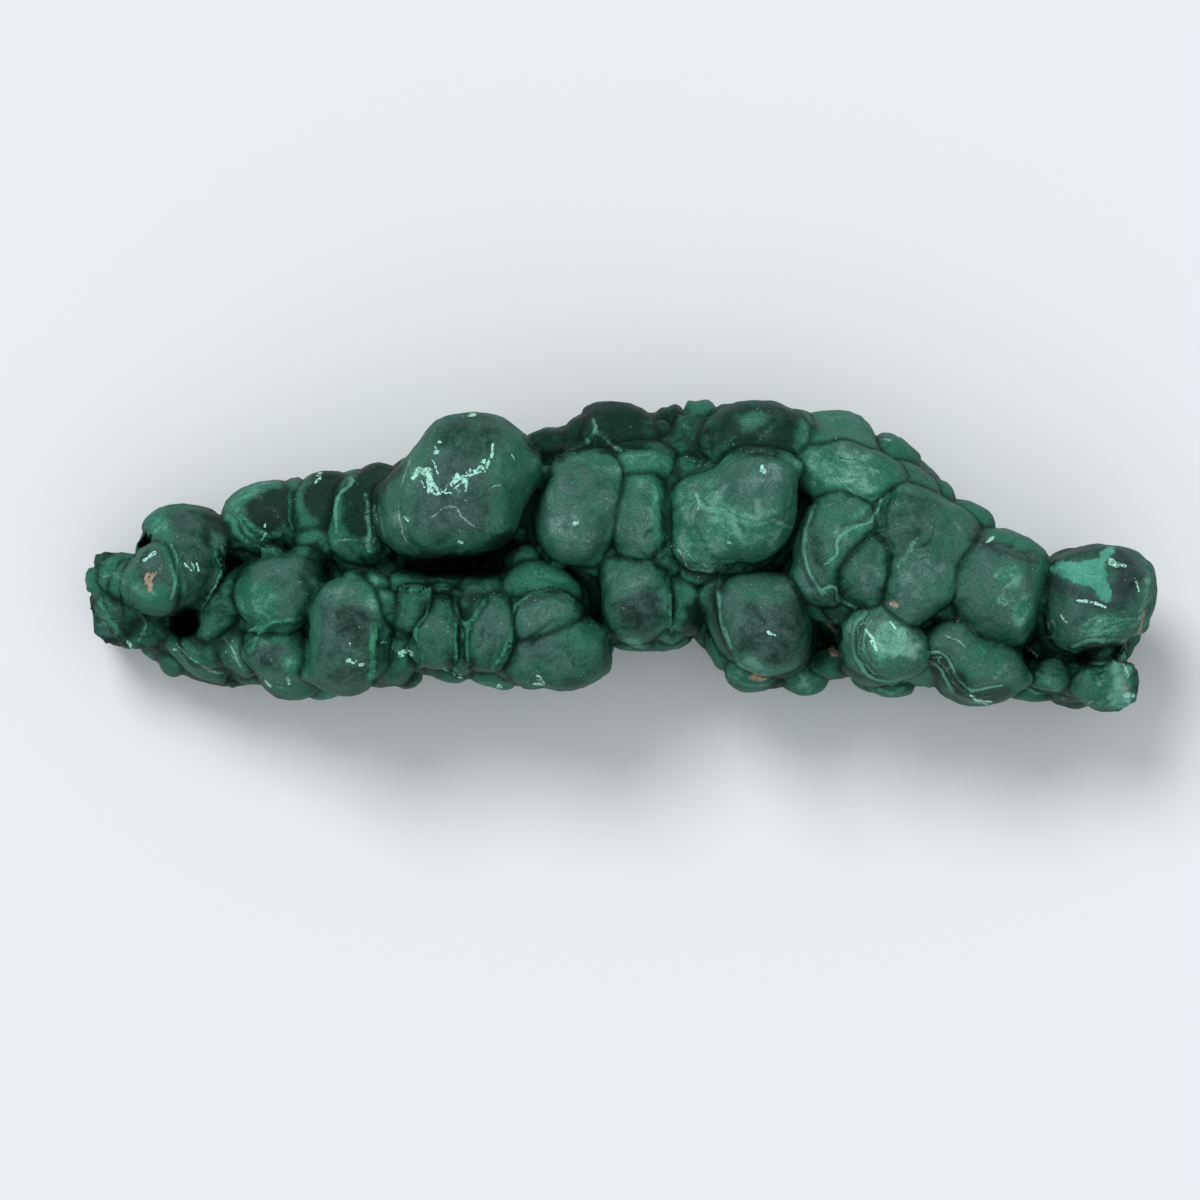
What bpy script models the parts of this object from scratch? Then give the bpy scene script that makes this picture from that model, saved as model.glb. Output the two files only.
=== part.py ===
"""Malachite specimen: one loose, hand-sized crust of botryoidal malachite, 150 mm long.

The stone grew as one piece, so it is one solid. Rounded lumps of several sizes stand crowded on a
low ridge, and the whole lies on the flat broken face that it came off its bed by.
X runs along the stone, from its ragged thin end to its blunt end. Y runs across it, and Z is up.
The origin is on the flat face, in the middle of the stone.
"""

import math
import random
from collections import namedtuple

import bmesh
import bpy
from mathutils import Matrix, Vector

MM = 0.001
LENGTH = 150.0 * MM  # over the lumps at both ends
DRAWN_LENGTH = 150.0 * MM  # the length that the tables below are drawn at
SCALE = LENGTH / DRAWN_LENGTH

ROUNDNESS = 2.15  # of a lump in plan: 2 is a true ellipse, and more is a fuller pillow shape
CROWN_ROUNDNESS = 3.0  # the same of its height, where more is a flatter crown
BALL_DETAIL = 4  # subdivisions of the ball that each lump starts as
PIT_DETAIL = 2  # and of the ball that each hole is cut with
VOXEL = 0.55 * MM * SCALE  # the grain at which the lumps are fused
FACE_SHARE = 0.032  # the share of the fused faces that is kept
CUT_DEPTH = 40.0 * MM * SCALE  # how far below the resting face the cutter reaches
STONE_COLOUR = (0.045, 0.145, 0.105, 1.0)
STONE_ROUGHNESS = 0.75

# A lump is a pillow: its middle in plan, the height of its top, its half sizes, and its turn about
# Z in degrees. Sizes are in millimetres.
Lump = namedtuple("Lump", "x y top a b c turn")

LUMPS = {
    "left_tip": [
        Lump(-73.3, -3.6, 17.0, 2.0, 1.8, 3.0, 0),
        Lump(-70.6, -1.9, 19.0, 2.6, 2.1, 3.5, 15),
        Lump(-69.2, -2.6, 20.5, 1.4, 1.4, 2.0, 0),
        Lump(-71.8, -1.2, 17.3, 1.6, 1.2, 2.5, 0),
        Lump(-70.2, -8.3, 18.0, 4.1, 3.7, 6.0, -25),
        Lump(-72.3, -8.3, 15.5, 2.0, 3.2, 4.5, 20),
        Lump(-70.5, -10.7, 14.5, 3.2, 1.8, 4.5, -25),
        Lump(-67.5, -10.3, 17.8, 3.2, 3.0, 5.5, 0),
        Lump(-65.1, -2.6, 29.5, 2.8, 4.4, 6.5, 8),
        Lump(-60.6, -0.8, 27.5, 5.2, 6.5, 9.0, 8),
        Lump(-63.2, 4.0, 22.5, 3.2, 2.9, 6.0, 30),
        Lump(-66.8, 1.6, 18.5, 1.7, 1.0, 2.6, 38),
        Lump(-57.9, 3.9, 23.0, 3.0, 2.2, 6.0, -8),
        Lump(-54.1, 2.7, 21.5, 1.6, 3.6, 6.0, -8),
    ],
    "left_foot": [
        Lump(-56.4, -10.9, 21.5, 3.5, 4.6, 7.0, -25),
        Lump(-59.2, -14.7, 18.5, 4.4, 1.6, 4.0, -36),
        Lump(-63.0, -14.6, 14.5, 1.7, 2.6, 5.0, 20),
        Lump(-57.2, -16.2, 14.5, 5.2, 1.6, 5.0, -8),
        Lump(-53.2, -13.9, 22.0, 1.6, 3.5, 5.0, 28),
        Lump(-54.8, -5.4, 24.5, 2.3, 6.2, 6.0, -45),
        Lump(-51.8, -16.4, 16.0, 3.0, 1.5, 4.5, -12),
        Lump(-58.2, -8.0, 18.5, 1.8, 1.3, 3.0, 20),
        Lump(-55.6, -8.7, 19.5, 1.7, 1.9, 4.0, 0),
    ],
    "left_back": [
        Lump(-49.8, 5.9, 24.5, 6.5, 4.6, 8.0, 27),
        Lump(-51.6, 3.3, 22.3, 4.3, 1.5, 4.0, -38),
        Lump(-50.6, 1.2, 22.4, 5.0, 2.4, 5.0, -14),
        Lump(-41.5, 7.7, 25.5, 4.5, 4.5, 7.5, 0),
        Lump(-45.9, 8.0, 23.5, 2.6, 3.4, 6.0, 0),
        Lump(-42.6, 2.2, 25.4, 2.0, 2.1, 4.0, 0),
        Lump(-46.6, 2.8, 21.0, 1.6, 2.6, 4.0, 0),
        Lump(-34.6, 6.3, 28.5, 4.8, 6.9, 9.0, -20),
        Lump(-36.7, -0.3, 25.0, 2.9, 2.8, 5.0, 0),
        Lump(-33.6, 3.3, 26.5, 1.4, 4.0, 4.0, 15),
        Lump(-32.3, -1.5, 25.0, 1.4, 1.2, 2.5, 0),
        Lump(-30.6, -0.7, 24.0, 1.1, 1.0, 2.0, 0),
        Lump(-40.8, 1.0, 19.0, 1.6, 2.8, 4.0, 0),
    ],
    "left_front": [
        Lump(-46.5, -4.7, 31.5, 5.7, 5.4, 8.5, 0),
        Lump(-47.4, -13.2, 27.5, 4.1, 3.9, 7.0, 0),
        Lump(-46.0, -16.8, 21.5, 4.4, 3.1, 7.0, -5),
        Lump(-43.8, -12.0, 22.0, 2.2, 4.2, 5.0, 0),
        Lump(-38.3, -10.8, 35.0, 4.95, 7.8, 9.0, 3),
        Lump(-38.4, -15.5, 31.0, 4.7, 3.7, 8.0, 0),
        Lump(-33.3, -6.9, 32.5, 1.9, 1.8, 3.0, 0),
        Lump(-34.3, -4.5, 31.5, 1.7, 1.5, 3.0, 0),
        Lump(-31.6, -14.4, 29.0, 3.2, 4.0, 7.0, 10),
        Lump(-33.0, -16.5, 25.0, 2.8, 1.9, 6.0, 0),
        Lump(-29.9, -16.9, 21.5, 2.0, 1.7, 5.0, 0),
    ],
    "boulder": [
        Lump(-20.8, 11.2, 43.0, 7.4, 8.4, 11.0, -12),
        Lump(-16.7, 13.0, 42.0, 5.8, 4.9, 9.5, -35),
        Lump(-24.2, 6.3, 42.0, 6.6, 6.4, 10.0, 0),
        Lump(-19.2, 6.5, 41.0, 4.5, 5.2, 9.0, 0),
        Lump(-24.2, 11.0, 42.3, 5.0, 5.0, 9.5, 0),
        Lump(-30.2, 5.8, 38.0, 2.6, 5.2, 9.5, 6),
    ],
    "cells": [
        Lump(-28.6, -3.9, 30.2, 2.9, 1.9, 4.0, 0),
        Lump(-24.0, -3.9, 30.4, 2.8, 1.6, 4.0, 0),
        Lump(-19.4, -4.7, 31.2, 2.9, 2.2, 4.5, 0),
        Lump(-20.5, -7.3, 31.4, 1.7, 2.1, 4.0, 0),
        Lump(-28.6, -7.6, 32.0, 2.6, 2.9, 5.0, 10),
        Lump(-25.3, -10.9, 32.6, 2.8, 4.8, 6.0, -5),
        Lump(-21.8, -12.4, 31.3, 1.3, 3.7, 4.5, 0),
        Lump(-17.9, -10.4, 33.0, 3.1, 5.0, 6.5, -12),
        Lump(-15.2, -14.0, 29.6, 1.6, 2.9, 4.0, 10),
        Lump(-23.6, -14.8, 27.5, 4.0, 2.6, 7.0, 0),
        Lump(-17.2, -15.9, 26.5, 4.1, 2.5, 7.0, -8),
        Lump(-27.3, -14.5, 25.5, 2.2, 2.0, 5.0, 0),
        Lump(-10.6, -3.9, 32.5, 5.4, 3.3, 6.5, -22),
        Lump(-10.0, -8.3, 33.6, 4.8, 3.6, 6.5, -12),
        Lump(-6.9, -13.6, 34.0, 6.1, 5.2, 9.5, 15),
        Lump(-12.0, -14.6, 31.6, 3.3, 3.9, 7.5, 0),
        Lump(-13.5, -0.3, 31.2, 2.8, 1.7, 4.0, 5),
        Lump(-13.7, 2.6, 29.0, 1.0, 1.3, 2.0, 0),
    ],
    "middle": [
        Lump(-5.0, 8.0, 35.5, 4.6, 5.6, 9.5, -18),
        Lump(3.0, 5.5, 34.0, 3.5, 5.2, 7.5, 0),
        Lump(7.0, 4.0, 31.7, 1.4, 5.6, 5.0, 0),
        Lump(3.4, 12.3, 31.2, 3.9, 2.3, 6.0, 0),
        Lump(10.1, 10.8, 29.5, 2.8, 1.9, 5.0, -5),
        Lump(2.1, -5.9, 33.0, 4.7, 5.9, 9.0, 0),
        Lump(-3.0, -0.7, 29.0, 2.4, 1.4, 3.0, 25),
        Lump(8.9, -6.6, 29.5, 2.0, 3.9, 6.0, 5),
        Lump(10.4, -7.2, 27.5, 1.5, 3.9, 6.0, 0),
        Lump(7.4, -10.5, 26.0, 1.7, 1.8, 4.0, 0),
        Lump(4.6, -11.5, 20.5, 5.6, 1.9, 4.5, 2),
        Lump(2.4, -11.9, 22.0, 2.2, 0.9, 2.0, -22),
        Lump(-7.2, 4.6, 35.0, 4.5, 4.7, 9.0, -12),
        Lump(-6.6, 1.6, 34.0, 2.9, 2.9, 7.5, 0),
    ],
    "middle_right": [
        Lump(19.3, 6.7, 39.5, 5.1, 6.4, 10.0, 0),
        Lump(20.1, 8.2, 39.6, 4.0, 5.2, 9.5, 0),
        Lump(16.0, 4.2, 37.5, 5.6, 4.9, 9.0, 0),
        Lump(11.3, 4.1, 35.3, 3.3, 5.1, 8.0, 8),
        Lump(11.8, -0.4, 31.0, 2.9, 3.0, 6.0, -20),
        Lump(20.5, -9.0, 35.0, 5.8, 7.1, 9.5, 26),
        Lump(17.3, -8.3, 31.5, 4.9, 6.4, 9.0, 12),
        Lump(18.6, -16.0, 23.0, 3.5, 2.9, 6.0, -8),
        Lump(26.6, -17.2, 20.0, 3.2, 2.6, 5.0, -5),
        Lump(23.2, -16.8, 18.5, 1.9, 1.3, 4.0, 0),
        Lump(14.3, -12.6, 22.0, 1.8, 3.3, 6.0, 22),
        Lump(30.4, -14.8, 21.0, 2.9, 2.4, 4.0, 0),
    ],
    "top_back": [
        Lump(0.2, 17.0, 26.8, 6.1, 4.7, 8.0, -12),
        Lump(-4.6, 17.9, 25.4, 3.0, 2.0, 4.0, 14),
        Lump(0.4, 14.3, 25.5, 3.1, 1.3, 3.0, 0),
        Lump(-5.2, 15.2, 25.6, 2.4, 1.0, 2.5, 50),
        Lump(6.2, 16.9, 25.5, 1.6, 2.1, 4.0, 0),
        Lump(10.0, 15.2, 28.0, 3.4, 2.6, 5.0, 0),
        Lump(10.2, 18.0, 25.5, 1.8, 1.2, 4.0, 20),
        Lump(12.5, 19.4, 23.0, 2.5, 2.2, 5.0, -35),
        Lump(16.2, 19.5, 22.5, 2.9, 1.8, 5.0, -10),
        Lump(14.0, 18.1, 25.0, 2.6, 1.2, 4.0, 25),
        Lump(19.4, 16.8, 32.5, 6.8, 5.0, 9.0, 0),
        Lump(13.4, 14.0, 28.0, 2.6, 1.5, 4.0, 0),
        Lump(25.9, 16.7, 28.5, 1.3, 3.1, 5.0, 0),
        Lump(-9.9, 15.3, 24.0, 3.6, 2.6, 5.0, 4),
        Lump(-9.0, 13.1, 24.0, 2.5, 1.5, 3.5, 0),
    ],
    "right_back": [
        Lump(31.0, 17.0, 26.0, 5.4, 3.3, 7.0, -8),
        Lump(31.0, 14.8, 30.5, 5.2, 3.4, 6.0, 0),
        Lump(32.0, 10.9, 33.5, 7.1, 3.8, 7.0, -5),
        Lump(39.5, 13.5, 25.5, 4.6, 3.0, 7.0, -42),
        Lump(41.0, 9.8, 29.5, 4.0, 2.8, 6.0, -20),
        Lump(45.0, 8.7, 26.0, 2.6, 2.0, 6.0, -38),
        Lump(49.5, 5.1, 27.0, 3.8, 2.1, 6.0, -32),
    ],
    "right_main": [
        Lump(30.6, 3.0, 36.0, 5.2, 5.4, 8.5, -15),
        Lump(27.9, -1.9, 34.8, 3.2, 5.0, 7.5, 12),
        Lump(34.0, -1.3, 36.0, 3.6, 5.0, 7.0, 0),
        Lump(30.7, -6.2, 31.0, 2.4, 2.7, 5.5, 20),
        Lump(41.0, 4.2, 36.0, 5.4, 4.5, 8.0, -10),
        Lump(42.0, -3.9, 36.0, 4.2, 5.3, 8.0, 0),
        Lump(46.4, 3.1, 34.5, 3.5, 4.1, 7.0, 0),
        Lump(53.2, -4.8, 35.0, 6.6, 8.1, 10.0, 0),
        Lump(55.6, -0.2, 33.5, 5.5, 3.2, 7.5, -18),
        Lump(27.4, -4.0, 29.5, 3.3, 5.8, 7.0, 25),
    ],
    "right_end": [
        Lump(67.2, -4.6, 33.0, 7.3, 6.2, 11.0, 0),
        Lump(66.4, -8.8, 31.5, 5.9, 4.8, 9.0, 0),
        Lump(69.8, -10.8, 25.0, 2.0, 7.0, 12.0, -3),
        Lump(60.6, -16.5, 25.0, 2.4, 2.1, 4.5, 0),
        Lump(64.2, -16.9, 24.0, 1.9, 2.1, 4.0, 0),
        Lump(62.3, -18.6, 21.0, 2.8, 1.6, 4.0, 0),
        Lump(68.3, -17.4, 26.5, 3.7, 3.7, 7.0, -15),
        Lump(69.3, -19.3, 22.0, 2.9, 2.3, 5.0, 0),
    ],
    "right_front": [
        Lump(37.4, -12.5, 34.0, 5.6, 5.4, 8.5, 0),
        Lump(35.9, -12.6, 30.5, 4.6, 5.8, 8.0, 0),
        Lump(38.8, -18.0, 19.0, 3.4, 1.9, 5.0, 0),
        Lump(47.8, -12.2, 32.0, 4.4, 3.3, 7.0, -12),
        Lump(51.3, -15.8, 31.5, 5.9, 5.1, 8.0, -12),
        Lump(48.5, -16.9, 28.5, 4.3, 3.4, 7.0, -20),
        Lump(59.0, -18.8, 20.5, 3.9, 1.6, 5.0, 0),
        Lump(57.2, -15.6, 24.0, 1.8, 2.0, 4.0, 0),
    ],
}

# Broad low pillows under each crowd of lumps, which keep the grooves between them shallow.
BEDS = [
    Lump(-70.0, -6.5, 14.5, 4.5, 5.5, 8.0, 0),
    Lump(-61.5, -7.0, 16.5, 5.5, 7.5, 10.0, 0),
    Lump(-57.0, -11.0, 17.0, 6.5, 5.5, 9.0, 0),
    Lump(-63.5, -11.0, 14.5, 5.0, 4.0, 9.0, 0),
    Lump(-42.5, -13.5, 20.0, 6.0, 5.0, 12.0, 0),
    Lump(-48.0, 4.5, 20.5, 8.0, 5.0, 10.0, 10),
    Lump(-47.0, -9.5, 24.5, 5.5, 8.0, 12.0, 0),
    Lump(-38.0, 2.0, 20.5, 6.0, 8.5, 10.0, 0),
    Lump(-33.5, -12.0, 26.0, 6.5, 6.0, 12.0, 0),
    Lump(-22.5, 8.0, 33.0, 6.5, 8.5, 14.0, 0),
    Lump(-22.5, -9.2, 29.8, 8.6, 6.8, 14.0, 0),
    Lump(-10.5, -8.5, 31.0, 6.0, 8.0, 14.0, -15),
    Lump(0.0, 5.0, 29.5, 8.0, 8.0, 14.0, 0),
    Lump(4.5, -5.0, 26.5, 6.5, 6.5, 12.0, 0),
    Lump(5.0, 15.5, 23.0, 12.0, 4.5, 10.0, 0),
    Lump(16.0, 5.0, 33.0, 8.0, 8.0, 16.0, 0),
    Lump(13.0, -7.0, 19.5, 4.0, 6.0, 10.0, 0),
    Lump(21.0, -9.0, 27.0, 7.5, 7.5, 14.0, 0),
    Lump(22.0, 15.0, 25.0, 8.0, 5.0, 12.0, 0),
    Lump(35.0, 11.0, 26.0, 12.0, 6.0, 12.0, -18),
    Lump(36.0, 0.5, 33.5, 10.0, 7.0, 16.0, 0),
    Lump(47.0, -2.5, 32.0, 8.0, 7.5, 14.0, -20),
    Lump(44.0, -13.5, 27.0, 11.0, 5.0, 12.0, -6),
    Lump(65.0, -8.0, 26.0, 7.0, 7.0, 14.0, 0),
    Lump(63.0, -17.0, 19.5, 8.0, 3.5, 8.0, 0),
]

# The mass of the stone, from end to end. Its lower half reaches past the resting face.
CORE = [
    Lump(-66.0, -5.5, 13.5, 7.0, 5.5, 15.0, 0),
    Lump(-51.0, -4.5, 16.5, 14.0, 9.5, 20.0, 0),
    Lump(-31.0, -0.5, 20.5, 15.0, 12.0, 26.0, 0),
    Lump(-10.0, 0.5, 20.5, 14.5, 13.0, 26.0, 0),
    Lump(12.0, 3.0, 20.5, 15.0, 13.0, 26.0, 0),
    Lump(32.0, 0.0, 20.5, 15.0, 13.5, 26.0, 0),
    Lump(50.0, -7.0, 20.0, 13.5, 10.5, 25.0, 0),
    Lump(64.5, -10.0, 17.5, 8.0, 8.5, 20.0, 0),
]

# The stone's outline in plan, anticlockwise from the thin end, which the skirt lumps stay inside.
OUTLINE = [
    (-75.0, -4.0), (-74.0, -8.5), (-71.0, -12.0), (-67.5, -13.3), (-65.0, -15.5), (-60.4, -18.2),
    (-52.5, -17.0), (-45.5, -20.0), (-37.5, -19.5), (-32.0, -18.4), (-27.0, -16.8),
    (-15.0, -18.6), (-9.0, -19.3), (-3.0, -17.5), (-0.6, -12.5), (4.5, -13.5), (12.0, -11.5),
    (15.0, -16.5), (20.0, -19.0), (27.0, -19.5), (32.0, -17.5), (38.0, -19.8), (44.0, -18.0),
    (50.0, -20.8), (60.0, -20.4), (67.8, -21.8), (70.6, -18.0), (71.0, -10.0), (72.6, -4.8),
    (70.6, -1.0), (66.5, 1.8), (61.6, 0.8), (53.5, 4.0), (47.5, 8.0), (42.0, 14.8), (36.5, 17.3),
    (30.0, 20.4), (21.0, 21.4), (12.8, 20.6), (8.0, 17.6), (0.0, 21.6), (-5.5, 20.2),
    (-9.0, 17.8), (-13.0, 18.2), (-21.5, 19.8), (-28.5, 15.0), (-33.0, 12.6), (-39.0, 12.4),
    (-45.6, 11.4), (-50.0, 10.4), (-56.0, 6.5), (-62.5, 7.1), (-67.0, 1.8), (-71.5, 0.2),
]  # fmt: skip

# Rings of lumps run round the stone's sides, under the lumps that the outline belongs to.
SKIRT_SEED = 11
SKIRT_STEP = 6.6  # from one lump to the next, along the outline
SKIRT_RINGS = (  # share of the rim's height that the middles stand at, half size, inset
    (0.26, 4.5, 2.2),
    (0.68, 4.3, 0.4),
    (1.02, 4.0, 2.4),
)
SIDE_TOP_X = -50.0  # the third ring runs only from here on, where the stone is high
RIM_LOW, RIM_HIGH = 8.5, 15.0  # the rim's height at the thin end, and from RIM_FULL_X on
RIM_THIN_X, RIM_FULL_X = -74.0, -48.0

# Deep holes between the lumps, as pillows that are cut away.
PITS = [
    Lump(-61.0, -9.5, 24.0, 1.5, 1.6, 9.0, 0),
    Lump(68.0, -13.8, 27.0, 2.9, 1.1, 5.0, 12),
    Lump(-66.6, 1.9, 20.0, 1.0, 0.5, 2.5, 35),
]


def rim_height(x):
    """Height that the side of the stone rises to, under its outermost lumps."""
    along = (x - RIM_THIN_X) / (RIM_FULL_X - RIM_THIN_X)
    return RIM_LOW + (RIM_HIGH - RIM_LOW) * min(1.0, max(0.0, along))


def outline_stations(step):
    """(point, inward direction, heading in degrees) at equal steps along the outline."""
    corners = [Vector(p) for p in OUTLINE]
    stations = []
    left_over = 0.0
    for start, end in zip(corners, corners[1:] + corners[:1]):
        side = end - start
        along = side.normalized()
        inward = Vector((-along.y, along.x))
        heading = math.degrees(math.atan2(along.y, along.x))
        distance = left_over
        while distance < side.length:
            stations.append((start + along * distance, inward, heading))
            distance += step
        left_over = distance - side.length
    return stations


def way_back(point):
    """From a point in plan outside the outline to the nearest point on it, or nothing inside it."""
    inside = False
    back = Vector((math.inf, 0.0))
    for start, end in zip(OUTLINE, OUTLINE[1:] + OUTLINE[:1]):
        start, side = Vector(start), Vector(end) - Vector(start)
        share = (point - start).dot(side) / side.length_squared
        offset = start + side * min(max(share, 0.0), 1.0) - point
        back = min(back, offset, key=lambda step: step.length)
        if (start.y > point.y) != (start.y + side.y > point.y):
            inside ^= point.x < start.x + side.x * (point.y - start.y) / side.y
    return Vector((0.0, 0.0)) if inside else back


def drawn_in(lump):
    """The lump, moved until it is within the outline."""
    turn = math.radians(lump.turn)
    for _ in range(4):
        farthest = Vector((0.0, 0.0))
        for step in range(12):
            angle = math.tau * step / 12
            along, across = lump.a * math.cos(angle), lump.b * math.sin(angle)
            x = lump.x + along * math.cos(turn) - across * math.sin(turn)
            y = lump.y + along * math.sin(turn) + across * math.cos(turn)
            back = way_back(Vector((x, y)))
            farthest = max(farthest, back, key=lambda step: step.length)
        lump = lump._replace(x=lump.x + farthest.x, y=lump.y + farthest.y)
    return lump


def skirt_lumps():
    """The lumps on the stone's sides, in rings that are staggered and a little uneven."""
    chance = random.Random(SKIRT_SEED)
    lumps = []
    for share, size, inset in SKIRT_RINGS:
        for point, inward, heading in outline_stations(SKIRT_STEP * chance.uniform(0.9, 1.1)):
            rim = rim_height(point.x)
            half = size * math.sqrt(rim / RIM_HIGH) * chance.uniform(0.8, 1.15)
            length = half * chance.uniform(0.95, 1.3)
            depth = half * chance.uniform(0.9, 1.3)
            middle = rim * share * chance.uniform(0.85, 1.15)
            centre = point + inward * (half + inset + chance.uniform(-0.3, 0.9))
            if share < 1.0 or point.x > SIDE_TOP_X:
                lump = Lump(centre.x, centre.y, middle + depth, length, half, depth, heading)
                lumps.append(drawn_in(lump))
    return lumps


def add_pillow(mesh, lump, detail):
    """Adds one closed pillow to the bmesh: a ball pushed out to a superellipsoid."""
    made = bmesh.ops.create_icosphere(mesh, subdivisions=detail, radius=1.0)
    for vertex in made["verts"]:
        x, y, z = (abs(value) for value in vertex.co)
        plan = (x**ROUNDNESS + y**ROUNDNESS) ** (1.0 / ROUNDNESS)
        fullness = plan**CROWN_ROUNDNESS + z**CROWN_ROUNDNESS
        vertex.co /= fullness ** (1.0 / CROWN_ROUNDNESS)
    place = (
        Matrix.Translation(Vector((lump.x, lump.y, lump.top - lump.c)))
        @ Matrix.Rotation(math.radians(lump.turn), 4, "Z")
        @ Matrix.Diagonal((lump.a, lump.b, lump.c, 1.0))
    )
    bmesh.ops.transform(mesh, matrix=Matrix.Scale(MM * SCALE, 4) @ place, verts=made["verts"])


def pillows_object(name, lumps, detail):
    """One object that holds all of these pillows, still overlapping."""
    mesh = bmesh.new()
    for lump in lumps:
        add_pillow(mesh, lump, detail)
    data = bpy.data.meshes.new(name)
    mesh.to_mesh(data)
    mesh.free()
    obj = bpy.data.objects.new(name, data)
    bpy.context.collection.objects.link(obj)
    return obj


def hide_cutter(obj):
    obj.hide_render = True
    obj.display_type = "WIRE"
    return obj


def pit_cutter():
    """The deep holes, as one cutter."""
    return hide_cutter(pillows_object("pit_cutter", PITS, PIT_DETAIL))


def base_cutter():
    """A block whose top is the plane that the stone rests on."""
    mesh = bmesh.new()
    bmesh.ops.create_cube(mesh, size=1.0)
    size = Matrix.Diagonal((2.0 * LENGTH, LENGTH, CUT_DEPTH, 1.0))
    drop = Matrix.Translation(Vector((0.0, 0.0, -CUT_DEPTH / 2)))
    bmesh.ops.transform(mesh, matrix=drop @ size, verts=mesh.verts)
    data = bpy.data.meshes.new("base_cutter")
    mesh.to_mesh(data)
    mesh.free()
    obj = bpy.data.objects.new("base_cutter", data)
    bpy.context.collection.objects.link(obj)
    return hide_cutter(obj)


def add_cut(stone, name, cutter):
    cut = stone.modifiers.new(name, "BOOLEAN")
    cut.operation = "DIFFERENCE"
    cut.solver = "EXACT"
    cut.object = cutter


def stone_material():
    """Dark velvety green stone."""
    material = bpy.data.materials.new("malachite")
    material.use_nodes = True
    shader = material.node_tree.nodes["Principled BSDF"]
    shader.inputs["Base Color"].default_value = STONE_COLOUR
    shader.inputs["Roughness"].default_value = STONE_ROUGHNESS
    shader.inputs["Metallic"].default_value = 0.0
    material.diffuse_color = STONE_COLOUR
    return material


def build_stone():
    """All the lumps fused into one skin, thinned to few faces, and cut flat where it rests."""
    visible = [lump for crowd in LUMPS.values() for lump in crowd]
    pillows = visible + skirt_lumps() + BEDS + CORE
    stone = pillows_object("malachite_stone", pillows, BALL_DETAIL)
    fuse = stone.modifiers.new("fuse_lumps", "REMESH")
    fuse.mode = "VOXEL"
    fuse.voxel_size = VOXEL
    thin = stone.modifiers.new("thin_faces", "DECIMATE")
    thin.decimate_type = "COLLAPSE"
    thin.ratio = FACE_SHARE
    thin.use_collapse_triangulate = True
    add_cut(stone, "cut_pits", pit_cutter())
    add_cut(stone, "cut_base", base_cutter())
    stone.data.materials.append(stone_material())
    return stone


def clear_scene():
    for obj in list(bpy.data.objects):
        bpy.data.objects.remove(obj, do_unlink=True)


def main():
    clear_scene()
    bpy.context.scene.unit_settings.scale_length = 1.0
    build_stone()


main()
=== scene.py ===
"""The look of the malachite specimen: one piece of stone, lying on its flat broken back.

The lumps below are the part's own, in its frame. Here they are fused finely enough for each groove
to show, given small dents and swellings, and coloured as velvety malachite is, with painted shade
in the grooves, gaps and holes and down the lumps' flanks.
"""

import itertools
import math
import random
from collections import namedtuple

import bmesh
import bpy
import numpy as np
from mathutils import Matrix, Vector


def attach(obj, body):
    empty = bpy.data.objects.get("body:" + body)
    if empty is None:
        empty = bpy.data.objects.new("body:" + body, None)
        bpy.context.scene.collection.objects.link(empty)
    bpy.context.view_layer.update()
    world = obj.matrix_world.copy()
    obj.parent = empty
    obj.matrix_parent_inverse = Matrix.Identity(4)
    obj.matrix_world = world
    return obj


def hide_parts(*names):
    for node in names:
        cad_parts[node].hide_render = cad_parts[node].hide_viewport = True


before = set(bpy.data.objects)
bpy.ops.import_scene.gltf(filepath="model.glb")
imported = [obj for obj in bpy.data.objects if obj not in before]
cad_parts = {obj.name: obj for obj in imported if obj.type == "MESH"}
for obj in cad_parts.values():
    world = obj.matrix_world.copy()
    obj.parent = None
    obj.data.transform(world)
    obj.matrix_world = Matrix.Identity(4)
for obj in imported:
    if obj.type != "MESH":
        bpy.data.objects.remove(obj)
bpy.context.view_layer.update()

MM = 0.001
ROUNDNESS = 2.15  # of a lump in plan: 2 is a true ellipse, and more is a fuller pillow shape
CROWN_ROUNDNESS = 3.0  # the same of its height, where more is a flatter crown
BALL_DETAIL = 4  # subdivisions of the ball that each lump starts as
VOXEL = 0.38  # mm, the grain at which the lumps are fused
MOST_TRIANGLES = 190000
REACH = 3.0  # mm, how far past its skin a lump's field is worked out
FAR = 9.0  # mm, what stands for a distance beyond reach
FIRST_ROUNDS, SECOND_ROUNDS, LAST_ROUNDS = 4, 3, 1  # of moving the mesh onto the finished skin
SETTLE_STEP = 0.6  # mm, the most that a vertex moves in one round
MAP_LOW, MAP_HIGH = (-90, -40), (90, 40)  # mm, the corners in plan of the map of room to swell

CREASE = 0.35  # mm, how wide the bottom of a groove between large lumps is
SMALL_CREASE = 1.2  # mm, the same where a small lump joins
SWELL = 0.13  # how far lumps swell into their neighbours, as a share of their size
MOST_SWELL = 0.8  # mm
FILL = 4.0  # mm, how widely neighbours fill in the groove between them
GROOVE_WIDTH = 0.8  # mm, of the crease line left in that filling
GROOVE_DEPTH = 0.5  # mm
PIT_DEPTH = 8.0  # mm
PIT_MOUTH = 1.4  # how much wider a pit's mouth is than the pit
PIT_STEEPNESS = 2.5
PIT_FLOOR = 2.0  # mm, the lowest that a pit reaches
RIDGE_HEIGHT = 0.55  # mm, of the green ridges between cells
MARK_REACH = 1.1  # mm, how far past its edge a mark is known
OFF_MARK = 100.0  # what stands for a place along a mark where there is none
TONE_SEED = 4

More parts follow.
